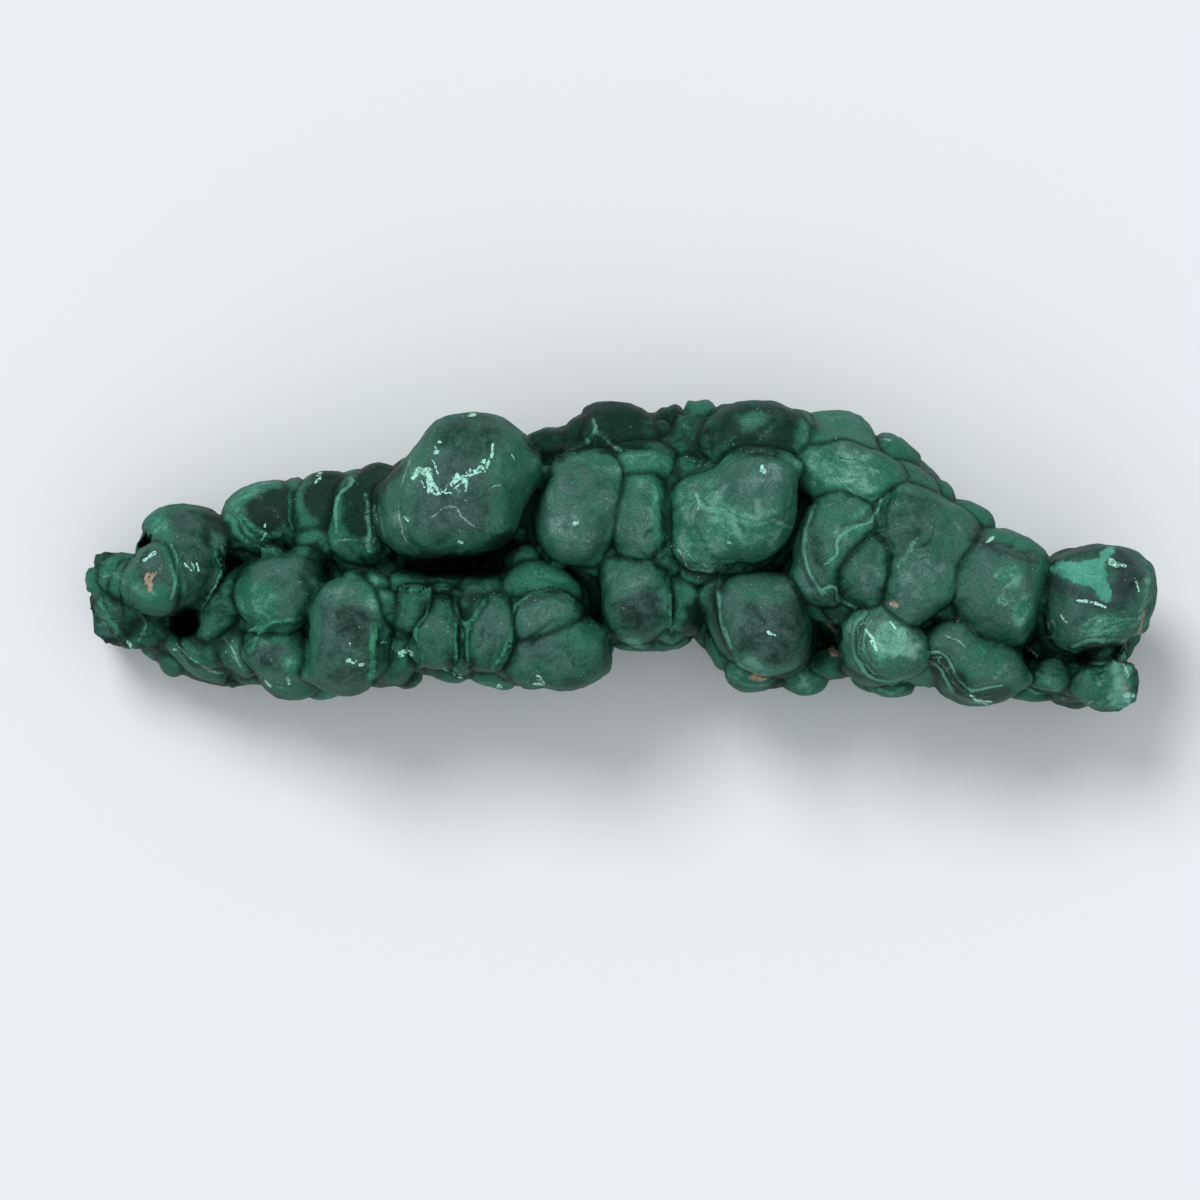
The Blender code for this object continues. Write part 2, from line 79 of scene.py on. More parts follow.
# The stone's colours, as screen values from 0 to 255.
GREY_STONE = ((32, 50, 47), (68, 98, 92), (126, 167, 157))  # from dark to light
GREEN_STONE = ((14, 49, 39), (47, 109, 89), (106, 184, 160))
# painted shade, black, for the deepest gaps and holes
HOLE_SHADE = (3, 8, 6)
# painted shade at the bottoms of the grooves
GROOVE_SHADE = (8, 26, 20)
SEAM_SHADE = (20, 44, 38)  # painted shade beside the raised green seams and the shells' edges
CRYSTAL_COLOUR = (140, 185, 170)
PIGMENTS = {  # of the marks
    "chip_and_highlight": (168, 228, 210),
    "hairline": (150, 190, 178),
    "shell_and_highlight_line": (96, 164, 142),
    "green_line": (66, 142, 112),
    "smoky_line": (44, 58, 58),
    "pale_streak": (108, 166, 146),
    "tan_spot": (172, 150, 130),
}
BRIGHT_PIGMENTS = ((66, 148, 124), (92, 170, 148))  # the bright patches' darker and paler clouds
GRAIN_STRENGTH = 0.7
GRAIN_HEIGHT = 0.12  # mm, of the grain that only shades the surface
SHEEN = 0.07  # very little: the surface is velvety

FLOOR_COLOUR = (0.80, 0.835, 0.865, 1.0)
KEY_STRENGTH = 1.62
KEY_SPREAD = 24.0  # degrees, the apparent width of the light
KEY_TRAVEL = (0.34, -0.6, -1.0)
SKY_COLOUR = (0.98, 1.0, 1.0, 1.0)
SKY_LEAN = (0.0, -0.12, 0.99)  # where the soft light from above is brightest
SKY_SPREAD = (0.45, 0.95)  # cosines from that way at which it fades out and is full
SKY_RANGE = (0.15, 1.1)

CAMERA_DISTANCE = 1500.0  # mm, above the level that the picture's scale holds at
FOCUS = 25.0  # mm, that level's height
PICTURE_WIDTH = 168.4  # mm across the picture there
PICTURE_CENTRE = (-2.46, -6.17)  # mm

# Deep dark gaps between lumps, as lines in plan that no lump swells across.
GAPS = [
    [(-12.9, 15.0), (-12.4, 11.0), (-12.6, 6.0), (-12.0, 2.5)],
    [(-31.5, 0.2), (-28.0, -1.0), (-22.0, -1.3), (-16.0, -0.3), (-12.0, 2.5)],
    [(-12.0, 2.5), (-9.5, -1.2), (-6.0, -2.2), (-4.0, -5.0), (-3.0, -9.5)],
    [(24.0, 1.0), (25.2, 5.0), (25.6, 9.0)],
    [(24.0, 1.0), (22.0, -0.6), (16.0, -0.5)],
    [(-59.5, -8.0), (-57.0, -5.0), (-55.0, -1.5), (-52.5, 0.3), (-48.0, 1.2)],
    [(-43.0, -7.0), (-43.3, -4.0), (-40.5, -2.5)],
    [(-42.7, -9.0), (-43.0, -14.0)],
    [(27.5, -7.5), (29.0, -11.0), (30.5, -14.5)],
    [(12.5, -9.0), (13.4, -11.5), (14.8, -15.5)],
    [(60.2, 1.0), (60.0, -6.0), (59.0, -12.0)],
    [(44.0, -9.2), (48.0, -9.0), (53.0, -12.6), (58.0, -14.4), (63.0, -14.2)],
    [(-29.8, 1.5), (-29.0, 0.2)],
]

# Broad patches of colour, laid over each other in this order. Each is an ellipse in plan with a
# ragged edge: its middle, half sizes and turn, how light it is from -1 to 1, and how green.
# Washes darker than -1.3 are painted shade: the black of a deep gap or hole.
Wash = namedtuple("Wash", "x y a b turn light green")
WASHES = [
    # the thin end
    Wash(-72.5, -3.5, 4.0, 4.0, 0, 0.05, 0.9),
    Wash(-70.5, -9.0, 5.5, 4.0, 0, -0.35, 0.75),
    Wash(-71.5, -9.8, 1.0, 2.2, 30, -0.2, 0.2),
    Wash(-66.0, -10.5, 3.5, 3.0, 0, -0.45, 1.0),
    Wash(-60.0, -1.0, 5.5, 6.5, 8, -0.35, 0.25),
    Wash(-57.0, 3.5, 3.5, 3.5, 0, -0.6, 0.5),
    Wash(-64.3, 4.0, 1.8, 3.0, 30, 0.35, 1.0),
    Wash(-60.5, 4.5, 2.2, 2.5, 0, -0.35, 0.2),
    Wash(-65.2, -1.5, 2.2, 3.0, 0, -0.35, 0.1),
    Wash(-65.0, -5.6, 2.6, 1.6, 0, 0.2, 0.8),
    Wash(-62.0, -1.8, 0.8, 3.6, 12, 0.5, 1.0),
    Wash(-55.9, -1.6, 0.7, 4.0, 8, 0.1, 0.8),
    # the low foot
    Wash(-57.0, -12.0, 5.0, 4.5, 0, -0.35, 0.7),
    Wash(-60.4, -15.0, 3.0, 1.6, -30, 0.2, 0.4),
    Wash(-53.7, -13.6, 0.8, 2.8, 28, 0.35, 0.5),
    Wash(-55.0, -5.0, 2.2, 5.0, -44, -0.45, 0.9),
    # painted shade: the black inside the pit here
    Wash(-61.0, -9.4, 1.9, 1.9, 0, -2.6, 0.8),
    # left, behind
    Wash(-51.0, 8.6, 4.6, 1.6, 30, 0.45, 0.85),
    Wash(-48.9, 6.2, 3.6, 3.2, 20, -0.95, 0.3),
    Wash(-51.0, 0.2, 6.0, 1.4, 10, -0.9, 0.9),
    Wash(-51.5, 3.2, 4.5, 1.3, -38, 0.15, 0.95),
    Wash(-44.6, 7.5, 1.5, 4.0, 0, 0.15, 0.95),
    Wash(-40.6, 8.2, 3.4, 4.2, 0, -0.95, 0.5),
    Wash(-43.1, 2.3, 2.2, 2.3, 0, 0.05, 1.0),
    Wash(-38.6, 6.5, 1.0, 5.5, -10, 0.45, 0.8),
    Wash(-34.2, 8.5, 4.2, 6.2, -20, -1.2, 0.85),
    Wash(-33.4, 2.6, 1.8, 5.0, 12, -0.5, 0.5),
    Wash(-36.5, -0.3, 3.2, 3.0, 0, -0.35, 1.0),
    # left, in front
    Wash(-47.4, -3.4, 4.6, 4.6, 0, -0.15, 0.45),
    Wash(-50.3, -7.0, 3.0, 3.0, 30, 0.3, 0.85),
    Wash(-42.6, -2.5, 2.0, 4.5, 0, -0.85, 0.7),
    Wash(-48.2, -11.0, 4.0, 1.8, 0, 0.05, 0.85),
    Wash(-48.2, -14.2, 2.4, 1.7, 0, -0.6, 0.2),
    Wash(-44.5, -15.2, 2.4, 2.2, 30, 0.15, 1.0),
    Wash(-47.3, -17.4, 3.0, 1.6, 0, 0.2, 0.5),
    Wash(-38.2, -11.0, 4.6, 7.5, 0, -0.35, 0.15),
    Wash(-36.9, -9.7, 2.4, 2.6, 0, -0.7, 0.1),
    Wash(-38.4, -4.8, 3.8, 2.0, 0, 0.15, 0.35),
    Wash(-42.3, -9.0, 0.9, 5.0, 0, 0.1, 0.6),
    Wash(-33.4, -5.9, 2.4, 3.0, 0, 0.4, 0.55),
    Wash(-31.8, -14.4, 3.2, 4.0, 0, -0.35, 1.0),
    # the tallest lump
    Wash(-21.3, 9.0, 9.5, 11.0, 0, -0.25, 0.5),
    Wash(-23.0, 8.0, 6.0, 6.0, 0, -0.3, 0.05),
    Wash(-20.5, 16.0, 5.0, 3.0, 0, -0.5, 0.5),
    Wash(-14.3, 13.5, 2.6, 4.0, -30, 0.1, 0.6),
    Wash(-15.0, 6.0, 2.6, 4.0, -20, -0.1, 0.8),
    Wash(-21.8, 1.0, 6.0, 1.8, 0, -0.25, 0.75),
    Wash(-28.6, 10.5, 1.3, 5.5, -12, 0.2, 0.45),
    Wash(-31.0, 6.0, 2.0, 4.5, 8, 0.15, 0.35),
    # the row of cells
    Wash(-23.0, -9.5, 10.0, 8.0, 0, -0.2, 0.75),
    # painted shade: these two blacken the deep gap under the tallest lump
    Wash(-23.0, -1.3, 8.0, 1.5, 0, -2.4, 0.8),
    Wash(-15.5, 1.4, 2.4, 1.6, 30, -1.6, 0.8),
    Wash(-25.2, -11.0, 2.0, 3.6, 0, -0.2, 0.35),
    Wash(-17.8, -10.2, 2.3, 3.8, 0, -0.12, 0.35),
    Wash(-10.3, -3.9, 5.6, 2.8, -22, 0.0, 0.95),
    Wash(-10.0, -8.5, 4.4, 3.0, -12, 0.1, 0.35),
    Wash(-6.5, -14.0, 6.5, 5.0, 15, -0.3, 0.65),
    Wash(-5.3, -10.8, 3.5, 2.0, -20, -0.05, 0.75),
    Wash(-11.6, -12.6, 2.6, 2.0, 30, -0.15, 0.1),
    # the middle
    Wash(-6.2, 6.4, 5.8, 7.5, 0, -0.05, 0.5),
    Wash(-6.9, 4.6, 3.2, 3.4, 0, 0.22, 0.25),
    Wash(-5.0, 10.5, 3.2, 2.2, 0, -0.2, 0.35),
    Wash(2.8, 5.5, 3.6, 5.5, 0, 0.02, 0.5),
    Wash(5.6, 6.8, 0.9, 4.0, 0, 0.3, 0.9),
    Wash(7.2, 4.0, 1.2, 5.5, 0, -0.4, 1.0),
    Wash(3.6, 12.6, 4.2, 2.4, 0, 0.25, 0.75),
    Wash(10.2, 10.9, 3.0, 1.8, 0, -0.05, 0.85),
    Wash(2.4, -6.0, 4.6, 6.0, 0, -0.18, 0.6),
    Wash(2.9, -7.4, 3.0, 3.2, 0, -0.75, 0.1),
    Wash(1.3, -3.8, 2.6, 1.8, 0, 0.15, 0.35),
    Wash(9.0, -5.0, 1.6, 3.0, 5, -0.1, 1.0),
    Wash(10.6, -8.5, 1.3, 3.5, 5, -0.7, 0.9),
    Wash(7.5, -10.9, 1.5, 1.7, 0, 0.35, 1.0),
    Wash(2.3, -12.5, 2.3, 0.9, -25, 0.75, 0.6),
    # right of the middle
    Wash(17.5, 6.5, 8.0, 8.0, 0, 0.25, 0.6),
    Wash(18.8, 10.2, 4.6, 3.8, 0, 0.15, 0.25),
    Wash(13.0, 4.4, 3.6, 5.0, 0, 0.3, 0.75),
    Wash(14.6, 5.9, 3.4, 1.2, -25, 0.42, 0.7),
    Wash(18.4, 2.6, 5.6, 2.2, 8, 0.36, 0.65),
    Wash(17.0, 0.6, 5.0, 1.4, 0, 0.25, 0.7),
    Wash(11.2, 5.4, 1.6, 1.8, 0, 0.3, 0.25),
    Wash(20.8, -8.2, 5.6, 6.6, 0, -0.5, 0.1),
    Wash(20.2, -4.4, 4.6, 2.0, 0, -0.02, 0.45),
    Wash(21.0, -13.5, 5.0, 2.0, 0, -0.6, 0.3),
    Wash(15.0, -7.6, 1.9, 5.0, 10, 0.0, 0.0),
    Wash(18.2, -16.0, 3.0, 2.4, -12, 0.35, 0.6),
    Wash(26.8, -17.5, 3.0, 1.8, 0, 0.3, 0.7),
    Wash(27.5, -12.5, 2.6, 3.4, 0, -0.6, 0.9),
    # the back row
    Wash(0.6, 18.4, 7.4, 4.1, 0, -1.15, 0.95),
    Wash(-4.6, 17.4, 1.8, 2.6, -50, -0.5, 0.9),
    Wash(-9.2, 15.6, 3.6, 2.4, 0, -0.9, 0.95),
    Wash(8.6, 17.0, 5.0, 4.0, 0, -0.5, 0.9),
    Wash(19.2, 17.6, 7.2, 4.0, 0, -0.75, 0.6),
    Wash(18.8, 18.8, 2.0, 1.2, 0, 0.0, 0.8),
    Wash(31.0, 16.5, 6.0, 3.8, 0, 0.15, 0.65),
    Wash(30.5, 14.4, 3.6, 2.0, 0, 0.12, 0.35),
    Wash(32.0, 10.9, 7.4, 3.6, -5, 0.35, 0.65),
    Wash(33.5, 11.6, 4.0, 1.8, -12, 0.3, 0.6),
    Wash(40.0, 13.0, 5.0, 3.2, -42, -0.05, 0.8),
    Wash(41.5, 9.0, 3.6, 2.4, -20, 0.08, 0.55),
    Wash(46.0, 8.0, 2.6, 2.0, -38, 0.02, 0.8),
    Wash(50.0, 5.0, 4.0, 2.2, -32, 0.3, 0.75),
    # the right half
    Wash(30.4, 3.6, 5.0, 5.4, 0, 0.1, 0.5),
    Wash(33.4, 4.6, 1.2, 3.0, -45, 0.3, 0.85),
    Wash(30.2, -0.9, 1.6, 1.4, 0, 0.35, 0.8),
    Wash(27.6, 0.6, 1.2, 5.0, 8, -0.3, 0.3),
    Wash(34.2, -1.6, 2.9, 4.2, 0, 0.08, 0.35),
    Wash(30.9, -6.4, 2.4, 2.8, 20, -0.45, 0.75),
    Wash(41.0, 4.6, 5.4, 4.4, 0, -0.45, 0.5),
    Wash(42.0, -4.0, 4.0, 5.0, 0, 0.12, 0.3),
    Wash(46.6, 3.0, 3.2, 3.8, 0, -0.05, 0.55),
    Wash(53.0, -4.5, 6.2, 8.0, 0, -0.08, 0.4),
    Wash(51.6, 2.4, 2.6, 1.6, -30, -0.55, -0.1),
    Wash(55.0, 2.4, 3.6, 1.3, -20, 0.1, 0.85),
    Wash(55.3, 0.2, 4.2, 0.8, -12, -0.3, 0.1),
    Wash(54.6, -2.6, 2.2, 1.8, 30, 0.4, 0.75),
    Wash(56.6, -7.6, 1.6, 2.4, -25, 0.4, 0.75),
    Wash(52.5, -10.4, 4.0, 2.0, -20, -0.25, 0.4),
    Wash(59.0, -5.0, 0.9, 5.5, 0, 0.0, 0.9),
    # the blunt end
    Wash(67.0, -5.0, 7.4, 7.0, 0, -0.15, 0.2),
    Wash(65.5, 0.6, 5.6, 1.9, 10, -0.5, 0.7),
    Wash(65.4, -5.6, 4.4, 0.9, -14, -0.35, -0.1),
    Wash(71.4, -3.0, 2.4, 3.4, 0, -0.55, -0.1),
    Wash(69.0, -9.8, 4.6, 2.0, 12, 0.2, 0.8),
    Wash(73.8, -6.5, 0.9, 5.4, 0, 0.3, 0.35),
    # painted shade: these three blacken the holes and the deep gap here
    Wash(68.6, -14.0, 3.4, 1.5, 10, -2.0, 0.2),
    Wash(58.4, -14.6, 1.4, 0.8, 0, -2.0, 0.5),
    Wash(61.4, -14.8, 1.5, 0.7, -20, -2.0, 0.5),
    Wash(62.0, -16.5, 3.5, 3.0, 0, -0.45, 0.7),
    Wash(69.0, -16.5, 3.0, 3.5, 0, -0.1, 0.95),
    Wash(70.4, -15.6, 2.0, 3.2, 12, 0.7, 0.7),
    Wash(70.6, -20.2, 2.2, 1.4, 0, 0.7, 0.75),
    Wash(66.0, -19.8, 2.6, 1.2, -12, 0.2, 0.95),
    # right, in front
    Wash(37.4, -12.4, 5.6, 5.8, 0, 0.1, 0.35),
    Wash(38.6, -12.4, 3.2, 3.4, 0, 0.75, 0.45),
    Wash(39.5, -15.2, 2.6, 1.5, 0, 0.0, 0.5),
    Wash(37.8, -18.6, 3.2, 1.6, -10, 0.05, 0.95),
    Wash(47.2, -12.0, 4.0, 3.0, -12, -0.1, 0.25),
    Wash(51.8, -15.0, 4.6, 2.8, -25, 0.05, 0.5),
    Wash(50.6, -12.8, 1.2, 0.9, 0, 0.4, 0.85),
    Wash(52.0, -19.2, 4.6, 1.2, 0, -0.3, 0.1),
    Wash(46.6, -16.8, 1.1, 4.4, 38, -0.7, 0.1),
    Wash(58.8, -18.8, 3.6, 1.6, 0, 0.05, 0.95),
]

# Thin marks: each is a line in plan from one point to another, with its width in mm.
Mark = namedtuple("Mark", "x0 y0 x1 y1 width")


def trail(width, *points):
    """Marks along a smooth curve through the points."""
    ends = [points[0], *points, points[-1]]
    curve = []
    for before, start, end, after in zip(ends, ends[1:], ends[2:], ends[3:]):
        for share in (0.0, 0.25, 0.5, 0.75):
            curve.append(
                [
                    b + 0.5 * share * (c - a + share * (2 * a - 5 * b + 4 * c - d))
                    + 0.5 * share**3 * (3 * (b - c) + d - a)
                    for a, b, c, d in zip(before, start, end, after)
                ]
            )
    curve.append(points[-1])
    return [Mark(*start, *end, width) for start, end in zip(curve, curve[1:])]


CHIPS_AND_HIGHLIGHT = [  # powdery mint-white knocks and scratches, and one painted highlight line
    Mark(-27.6, 11.9, -26.9, 11.7, 0.75),
    Mark(-28.3, 10.9, -27.6, 11.6, 0.5),
    Mark(-26.3, 12.2, -25.6, 12.4, 0.5),
    Mark(-26.0, 11.4, -25.3, 9.6, 0.95),
    Mark(-25.6, 9.4, -24.6, 8.4, 0.75),
    Mark(-26.2, 8.8, -25.2, 8.6, 0.5),
    Mark(-25.6, 14.2, -25.2, 14.3, 0.45),
    Mark(-24.8, 15.8, -24.4, 15.6, 0.4),
    Mark(-23.0, 9.7, -22.2, 10.4, 0.5),
    Mark(-22.3, 10.9, -21.9, 10.5, 0.4),
    Mark(-20.9, 9.1, -20.7, 11.0, 0.45),
    Mark(-20.0, 11.0, -18.9, 11.4, 0.6),
    Mark(-18.9, 11.4, -18.4, 12.9, 0.45),
    Mark(-17.9, 11.9, -17.2, 15.3, 0.32),
    Mark(-14.9, 14.0, -14.6, 13.7, 0.3),
    Mark(-21.9, 1.9, -21.6, 1.8, 0.4),
    Mark(-20.6, 19.6, -19.8, 19.7, 0.35),
    Mark(-29.5, 5.2, -29.1, 4.6, 0.45),
    Mark(-37.5, -14.6, -37.3, -14.6, 0.55),
    Mark(-36.2, -15.0, -35.9, -15.0, 0.4),
    Mark(-37.5, -12.3, -37.3, -12.7, 0.25),
    Mark(-30.3, -13.6, -29.4, -13.5, 0.45),
    Mark(-30.4, -14.2, -29.8, -14.1, 0.3),
    Mark(-28.9, -13.3, -28.6, -13.9, 0.35),
    Mark(-32.7, -12.3, -32.3, -12.3, 0.3),
    Mark(-24.4, -15.9, -23.9, -16.0, 0.35),
    Mark(-22.1, -16.6, -21.8, -16.7, 0.3),
    Mark(-16.8, -18.2, -16.2, -18.3, 0.35),
    Mark(-11.3, -16.7, -11.1, -16.8, 0.35),
    Mark(-11.6, -17.6, -10.6, -17.8, 0.4),
    Mark(-5.9, 4.4, -5.6, 4.6, 0.5),
    Mark(15.3, 1.8, 15.7, 1.8, 0.5),
    Mark(20.2, 12.3, 20.5, 11.6, 0.35),
    Mark(19.8, 11.7, 20.8, 11.9, 0.25),
    Mark(21.0, -10.6, 21.5, -11.3, 0.3),
    Mark(21.6, -10.4, 22.0, -11.1, 0.3),
    Mark(34.6, -10.2, 35.5, -11.6, 0.4),
    Mark(35.3, -12.2, 35.8, -12.8, 0.4),
    Mark(38.0, -9.0, 38.7, -9.9, 0.25),
    Mark(50.0, -20.2, 52.2, -20.5, 0.45),
    Mark(49.2, -19.4, 49.8, -20.0, 0.35),
    Mark(51.4, 2.0, 52.4, 2.4, 0.4),
    Mark(68.9, -0.8, 69.5, -1.2, 0.6),
    Mark(70.8, -1.3, 71.2, -1.3, 0.5),
    Mark(72.6, -3.6, 72.9, -4.6, 0.35),
    # painted highlight: a pale line across the blunt end's main lump
    *trail(0.35, (64.6, -6.1), (66.2, -6.4), (68.2, -7.2)),
    Mark(61.9, -8.4, 62.6, -9.4, 0.3),
    Mark(71.4, -19.4, 72.2, -19.4, 0.8),
    Mark(70.8, -13.6, 71.8, -16.4, 0.6),
    Mark(58.0, -13.0, 59.2, -14.0, 0.4),
    Mark(-66.4, -0.2, -65.0, 0.3, 0.35),
    Mark(-49.4, 2.9, -50.4, 2.4, 0.25),
    Mark(-42.2, 10.4, -41.8, 10.9, 0.3),
    Mark(-42.4, 11.3, -41.7, 11.4, 0.25),
    Mark(-69.2, -11.9, -68.6, -12.8, 0.4),
    Mark(-62.5, -13.1, -62.3, -13.1, 0.4),
    Mark(-49.7, 4.2, -49.3, 4.7, 0.25),
    Mark(-46.3, -17.0, -46.0, -17.9, 0.4),
    Mark(-49.4, -17.6, -48.6, -18.2, 0.3),
    Mark(-60.5, -1.2, -59.6, -2.0, 0.25),
    Mark(-58.9, -1.2, -58.7, -2.3, 0.25),
]
HAIRLINES = [  # thin pale scratches, and the edges of shells that show as lines
    *trail(0.22, (-26.0, 5.0), (-24.4, 6.2), (-22.6, 6.7), (-21.0, 5.2), (-19.7, 4.2)),
    *trail(0.18, (-18.2, 8.6), (-17.4, 9.3), (-16.4, 9.5)),
    *trail(0.2, (-28.8, 13.6), (-29.9, 11.0), (-30.4, 7.4), (-30.2, 3.8), (-29.4, 1.6)),
    *trail(0.22, (8.5, 0.7), (10.0, -1.4), (12.1, -2.2), (13.4, -2.0)),
    *trail(0.2, (9.2, 1.4), (10.6, -0.5), (12.6, -1.4), (14.0, -1.4)),
    *trail(0.25, (10.9, 8.7), (11.4, 7.6), (11.2, 6.6)),
    *trail(0.35, (36.9, 16.6), (38.4, 16.1)),
    *trail(0.15, (30.4, 10.9), (31.4, 9.7), (32.6, 8.6)),
    *trail(0.25, (-39.2, 2.0), (-37.6, 2.5), (-36.3, 2.4)),
    *trail(0.2, (45.9, -10.9), (47.6, -11.9), (48.9, -13.2)),
    *trail(0.25, (60.8, -9.0), (60.4, -10.2), (60.7, -11.6), (61.2, -10.6), (61.1, -9.4), (60.8, -9.0)),
    *trail(0.2, (-62.0, -12.2), (-60.2, -14.3), (-57.6, -15.9), (-55.6, -16.4)),
    *trail(0.25, (-55.2, -11.7), (-54.0, -13.4), (-52.8, -15.6)),
    *trail(0.2, (62.4, -20.0), (65.0, -21.0), (66.6, -20.4)),
]
SHELL_LINES_AND_HIGHLIGHT = [  # soft mint lines where a shell ends part way up a lump, and one painted highlight
    *trail(0.5, (15.0, -1.8), (14.1, -3.8), (13.9, -7.6), (14.9, -11.0), (15.9, -13.0)),
    *trail(0.45, (34.4, -7.6), (32.8, -10.4), (33.0, -13.4), (34.4, -15.9), (37.0, -17.6), (41.0, -17.2)),
    *trail(0.35, (35.4, -8.6), (34.1, -11.4), (34.6, -14.0), (36.4, -16.0)),
    *trail(0.35, (43.4, -13.4), (45.1, -13.7), (46.8, -15.2), (48.0, -17.6), (50.2, -19.0), (54.2, -18.3)),
    *trail(0.35, (43.2, -14.6), (45.0, -15.6), (46.2, -18.0), (48.6, -20.2), (52.2, -20.9)),
    *trail(0.4, (28.7, -4.7), (30.1, -3.9), (30.8, -5.2), (31.4, -6.7), (33.3, -7.2)),
    *trail(0.5, (27.4, 7.0), (26.3, 4.2), (26.0, 0.8), (26.8, -2.2), (28.6, -5.2)),
    *trail(0.4, (29.0, -1.0), (30.4, 0.4), (31.0, 2.2), (32.8, 3.9), (35.4, 5.0), (36.8, 7.6)),
    *trail(0.7, (11.2, 8.6), (12.0, 6.9), (15.0, 5.6), (17.5, 4.4), (19.6, 3.8), (22.0, 4.8), (23.9, 4.0)),
    # painted highlight along the lit left edge of the crescent lump
    *trail(0.5, (-39.2, 3.4), (-39.6, 6.0), (-38.9, 8.4), (-37.4, 10.6)),
    *trail(0.5, (64.0, -12.6), (66.2, -11.9), (69.4, -11.8), (72.0, -12.2)),
    *trail(0.4, (-62.8, 1.2), (-61.7, -0.8), (-61.6, -3.4), (-62.6, -5.8)),
    *trail(0.3, (-55.6, 1.6), (-55.4, -1.2), (-56.6, -4.6), (-58.6, -7.2)),
]
GREEN_LINES = [  # raised green seams between the smallest lumps
    *trail(0.8, (-30.0, -4.4), (-27.4, -4.7), (-24.6, -4.6), (-22.5, -4.9)),
    *trail(0.6, (-22.7, -5.2), (-22.6, -7.0), (-21.4, -9.2), (-19.6, -7.7), (-18.2, -6.1)),
    *trail(0.5, (-22.8, -9.4), (-22.9, -12.6), (-22.7, -15.8)),
    *trail(0.4, (-21.1, -9.4), (-21.2, -12.4), (-21.0, -15.4)),
    *trail(0.45, (-14.4, -5.9), (-14.4, -8.4), (-14.9, -12.5)),
    *trail(0.8, (-15.1, -11.4), (-15.7, -13.8), (-17.6, -15.9)),
    *trail(0.45, (-26.5, -5.0), (-26.9, -8.4), (-27.9, -10.2), (-27.8, -12.8), (-27.3, -15.4)),
    *trail(0.35, (-14.2, -6.2), (-10.7, -4.9), (-8.2, -5.1), (-6.1, -6.7)),
    *trail(0.45, (-45.7, 9.4), (-45.9, 6.4), (-45.5, 3.4)),
    *trail(1.0, (-54.6, 5.4), (-52.9, 2.6), (-50.4, 1.0), (-47.4, 0.9)),
    *trail(0.6, (-52.9, 5.5), (-50.9, 3.8), (-48.9, 2.7), (-47.3, 2.5)),
    *trail(0.7, (-52.0, -10.1), (-49.5, -9.9), (-47.0, -8.7), (-44.6, -8.6)),
    *trail(0.6, (-49.6, -10.2), (-51.0, -11.6), (-51.4, -13.2)),
    *trail(0.9, (-33.5, -10.0), (-34.3, -12.9), (-34.0, -15.4), (-34.8, -17.6)),
    *trail(0.5, (7.6, -5.4), (7.3, -8.6), (7.6, -12.0)),
    *trail(0.4, (-56.4, 0.6), (-55.6, -2.2), (-57.0, -5.4), (-59.0, -7.2)),
    *trail(0.7, (-73.2, -6.0), (-71.8, -9.2), (-69.6, -11.6)),
]
SMOKY_LINES = [  # soft dark bands, where an older shell shows
    *trail(1.7, (44.2, -14.0), (46.2, -15.8), (47.8, -18.4), (50.6, -19.9), (54.6, -19.3)),
    *trail(0.6, (51.0, 2.0), (53.6, 0.6), (56.2, 0.0), (58.6, -0.8)),
    *trail(1.5, (61.6, -4.0), (64.4, -5.4), (67.2, -6.9), (70.4, -7.0)),
    *trail(2.4, (70.6, 0.2), (70.9, -2.6), (69.9, -5.0)),
    *trail(1.0, (9.0, -0.4), (10.6, -2.4), (12.8, -3.2), (14.4, -2.6)),
    *trail(0.9, (26.8, 5.6), (25.6, 2.4), (25.5, -0.8), (27.4, -4.2)),
    *trail(0.8, (34.2, -9.2), (33.2, -12.2), (34.6, -15.6), (37.6, -17.4)),
    *trail(0.8, (14.6, -2.6), (13.4, -5.0), (13.4, -8.2), (14.6, -11.6)),
    *trail(0.8, (63.4, -13.2), (66.0, -12.6), (69.2, -12.5), (71.8, -13.0)),
    *trail(1.0, (-70.8, -5.8), (-69.8, -8.4), (-70.4, -10.6)),
    *trail(0.9, (-53.6, 4.2), (-51.4, 2.0), (-48.6, 1.6)),
    *trail(0.7, (-13.6, -6.8), (-10.6, -5.8), (-7.4, -6.4)),
    *trail(0.8, (36.2, 7.4), (34.4, 5.2), (31.6, 4.2)),
]
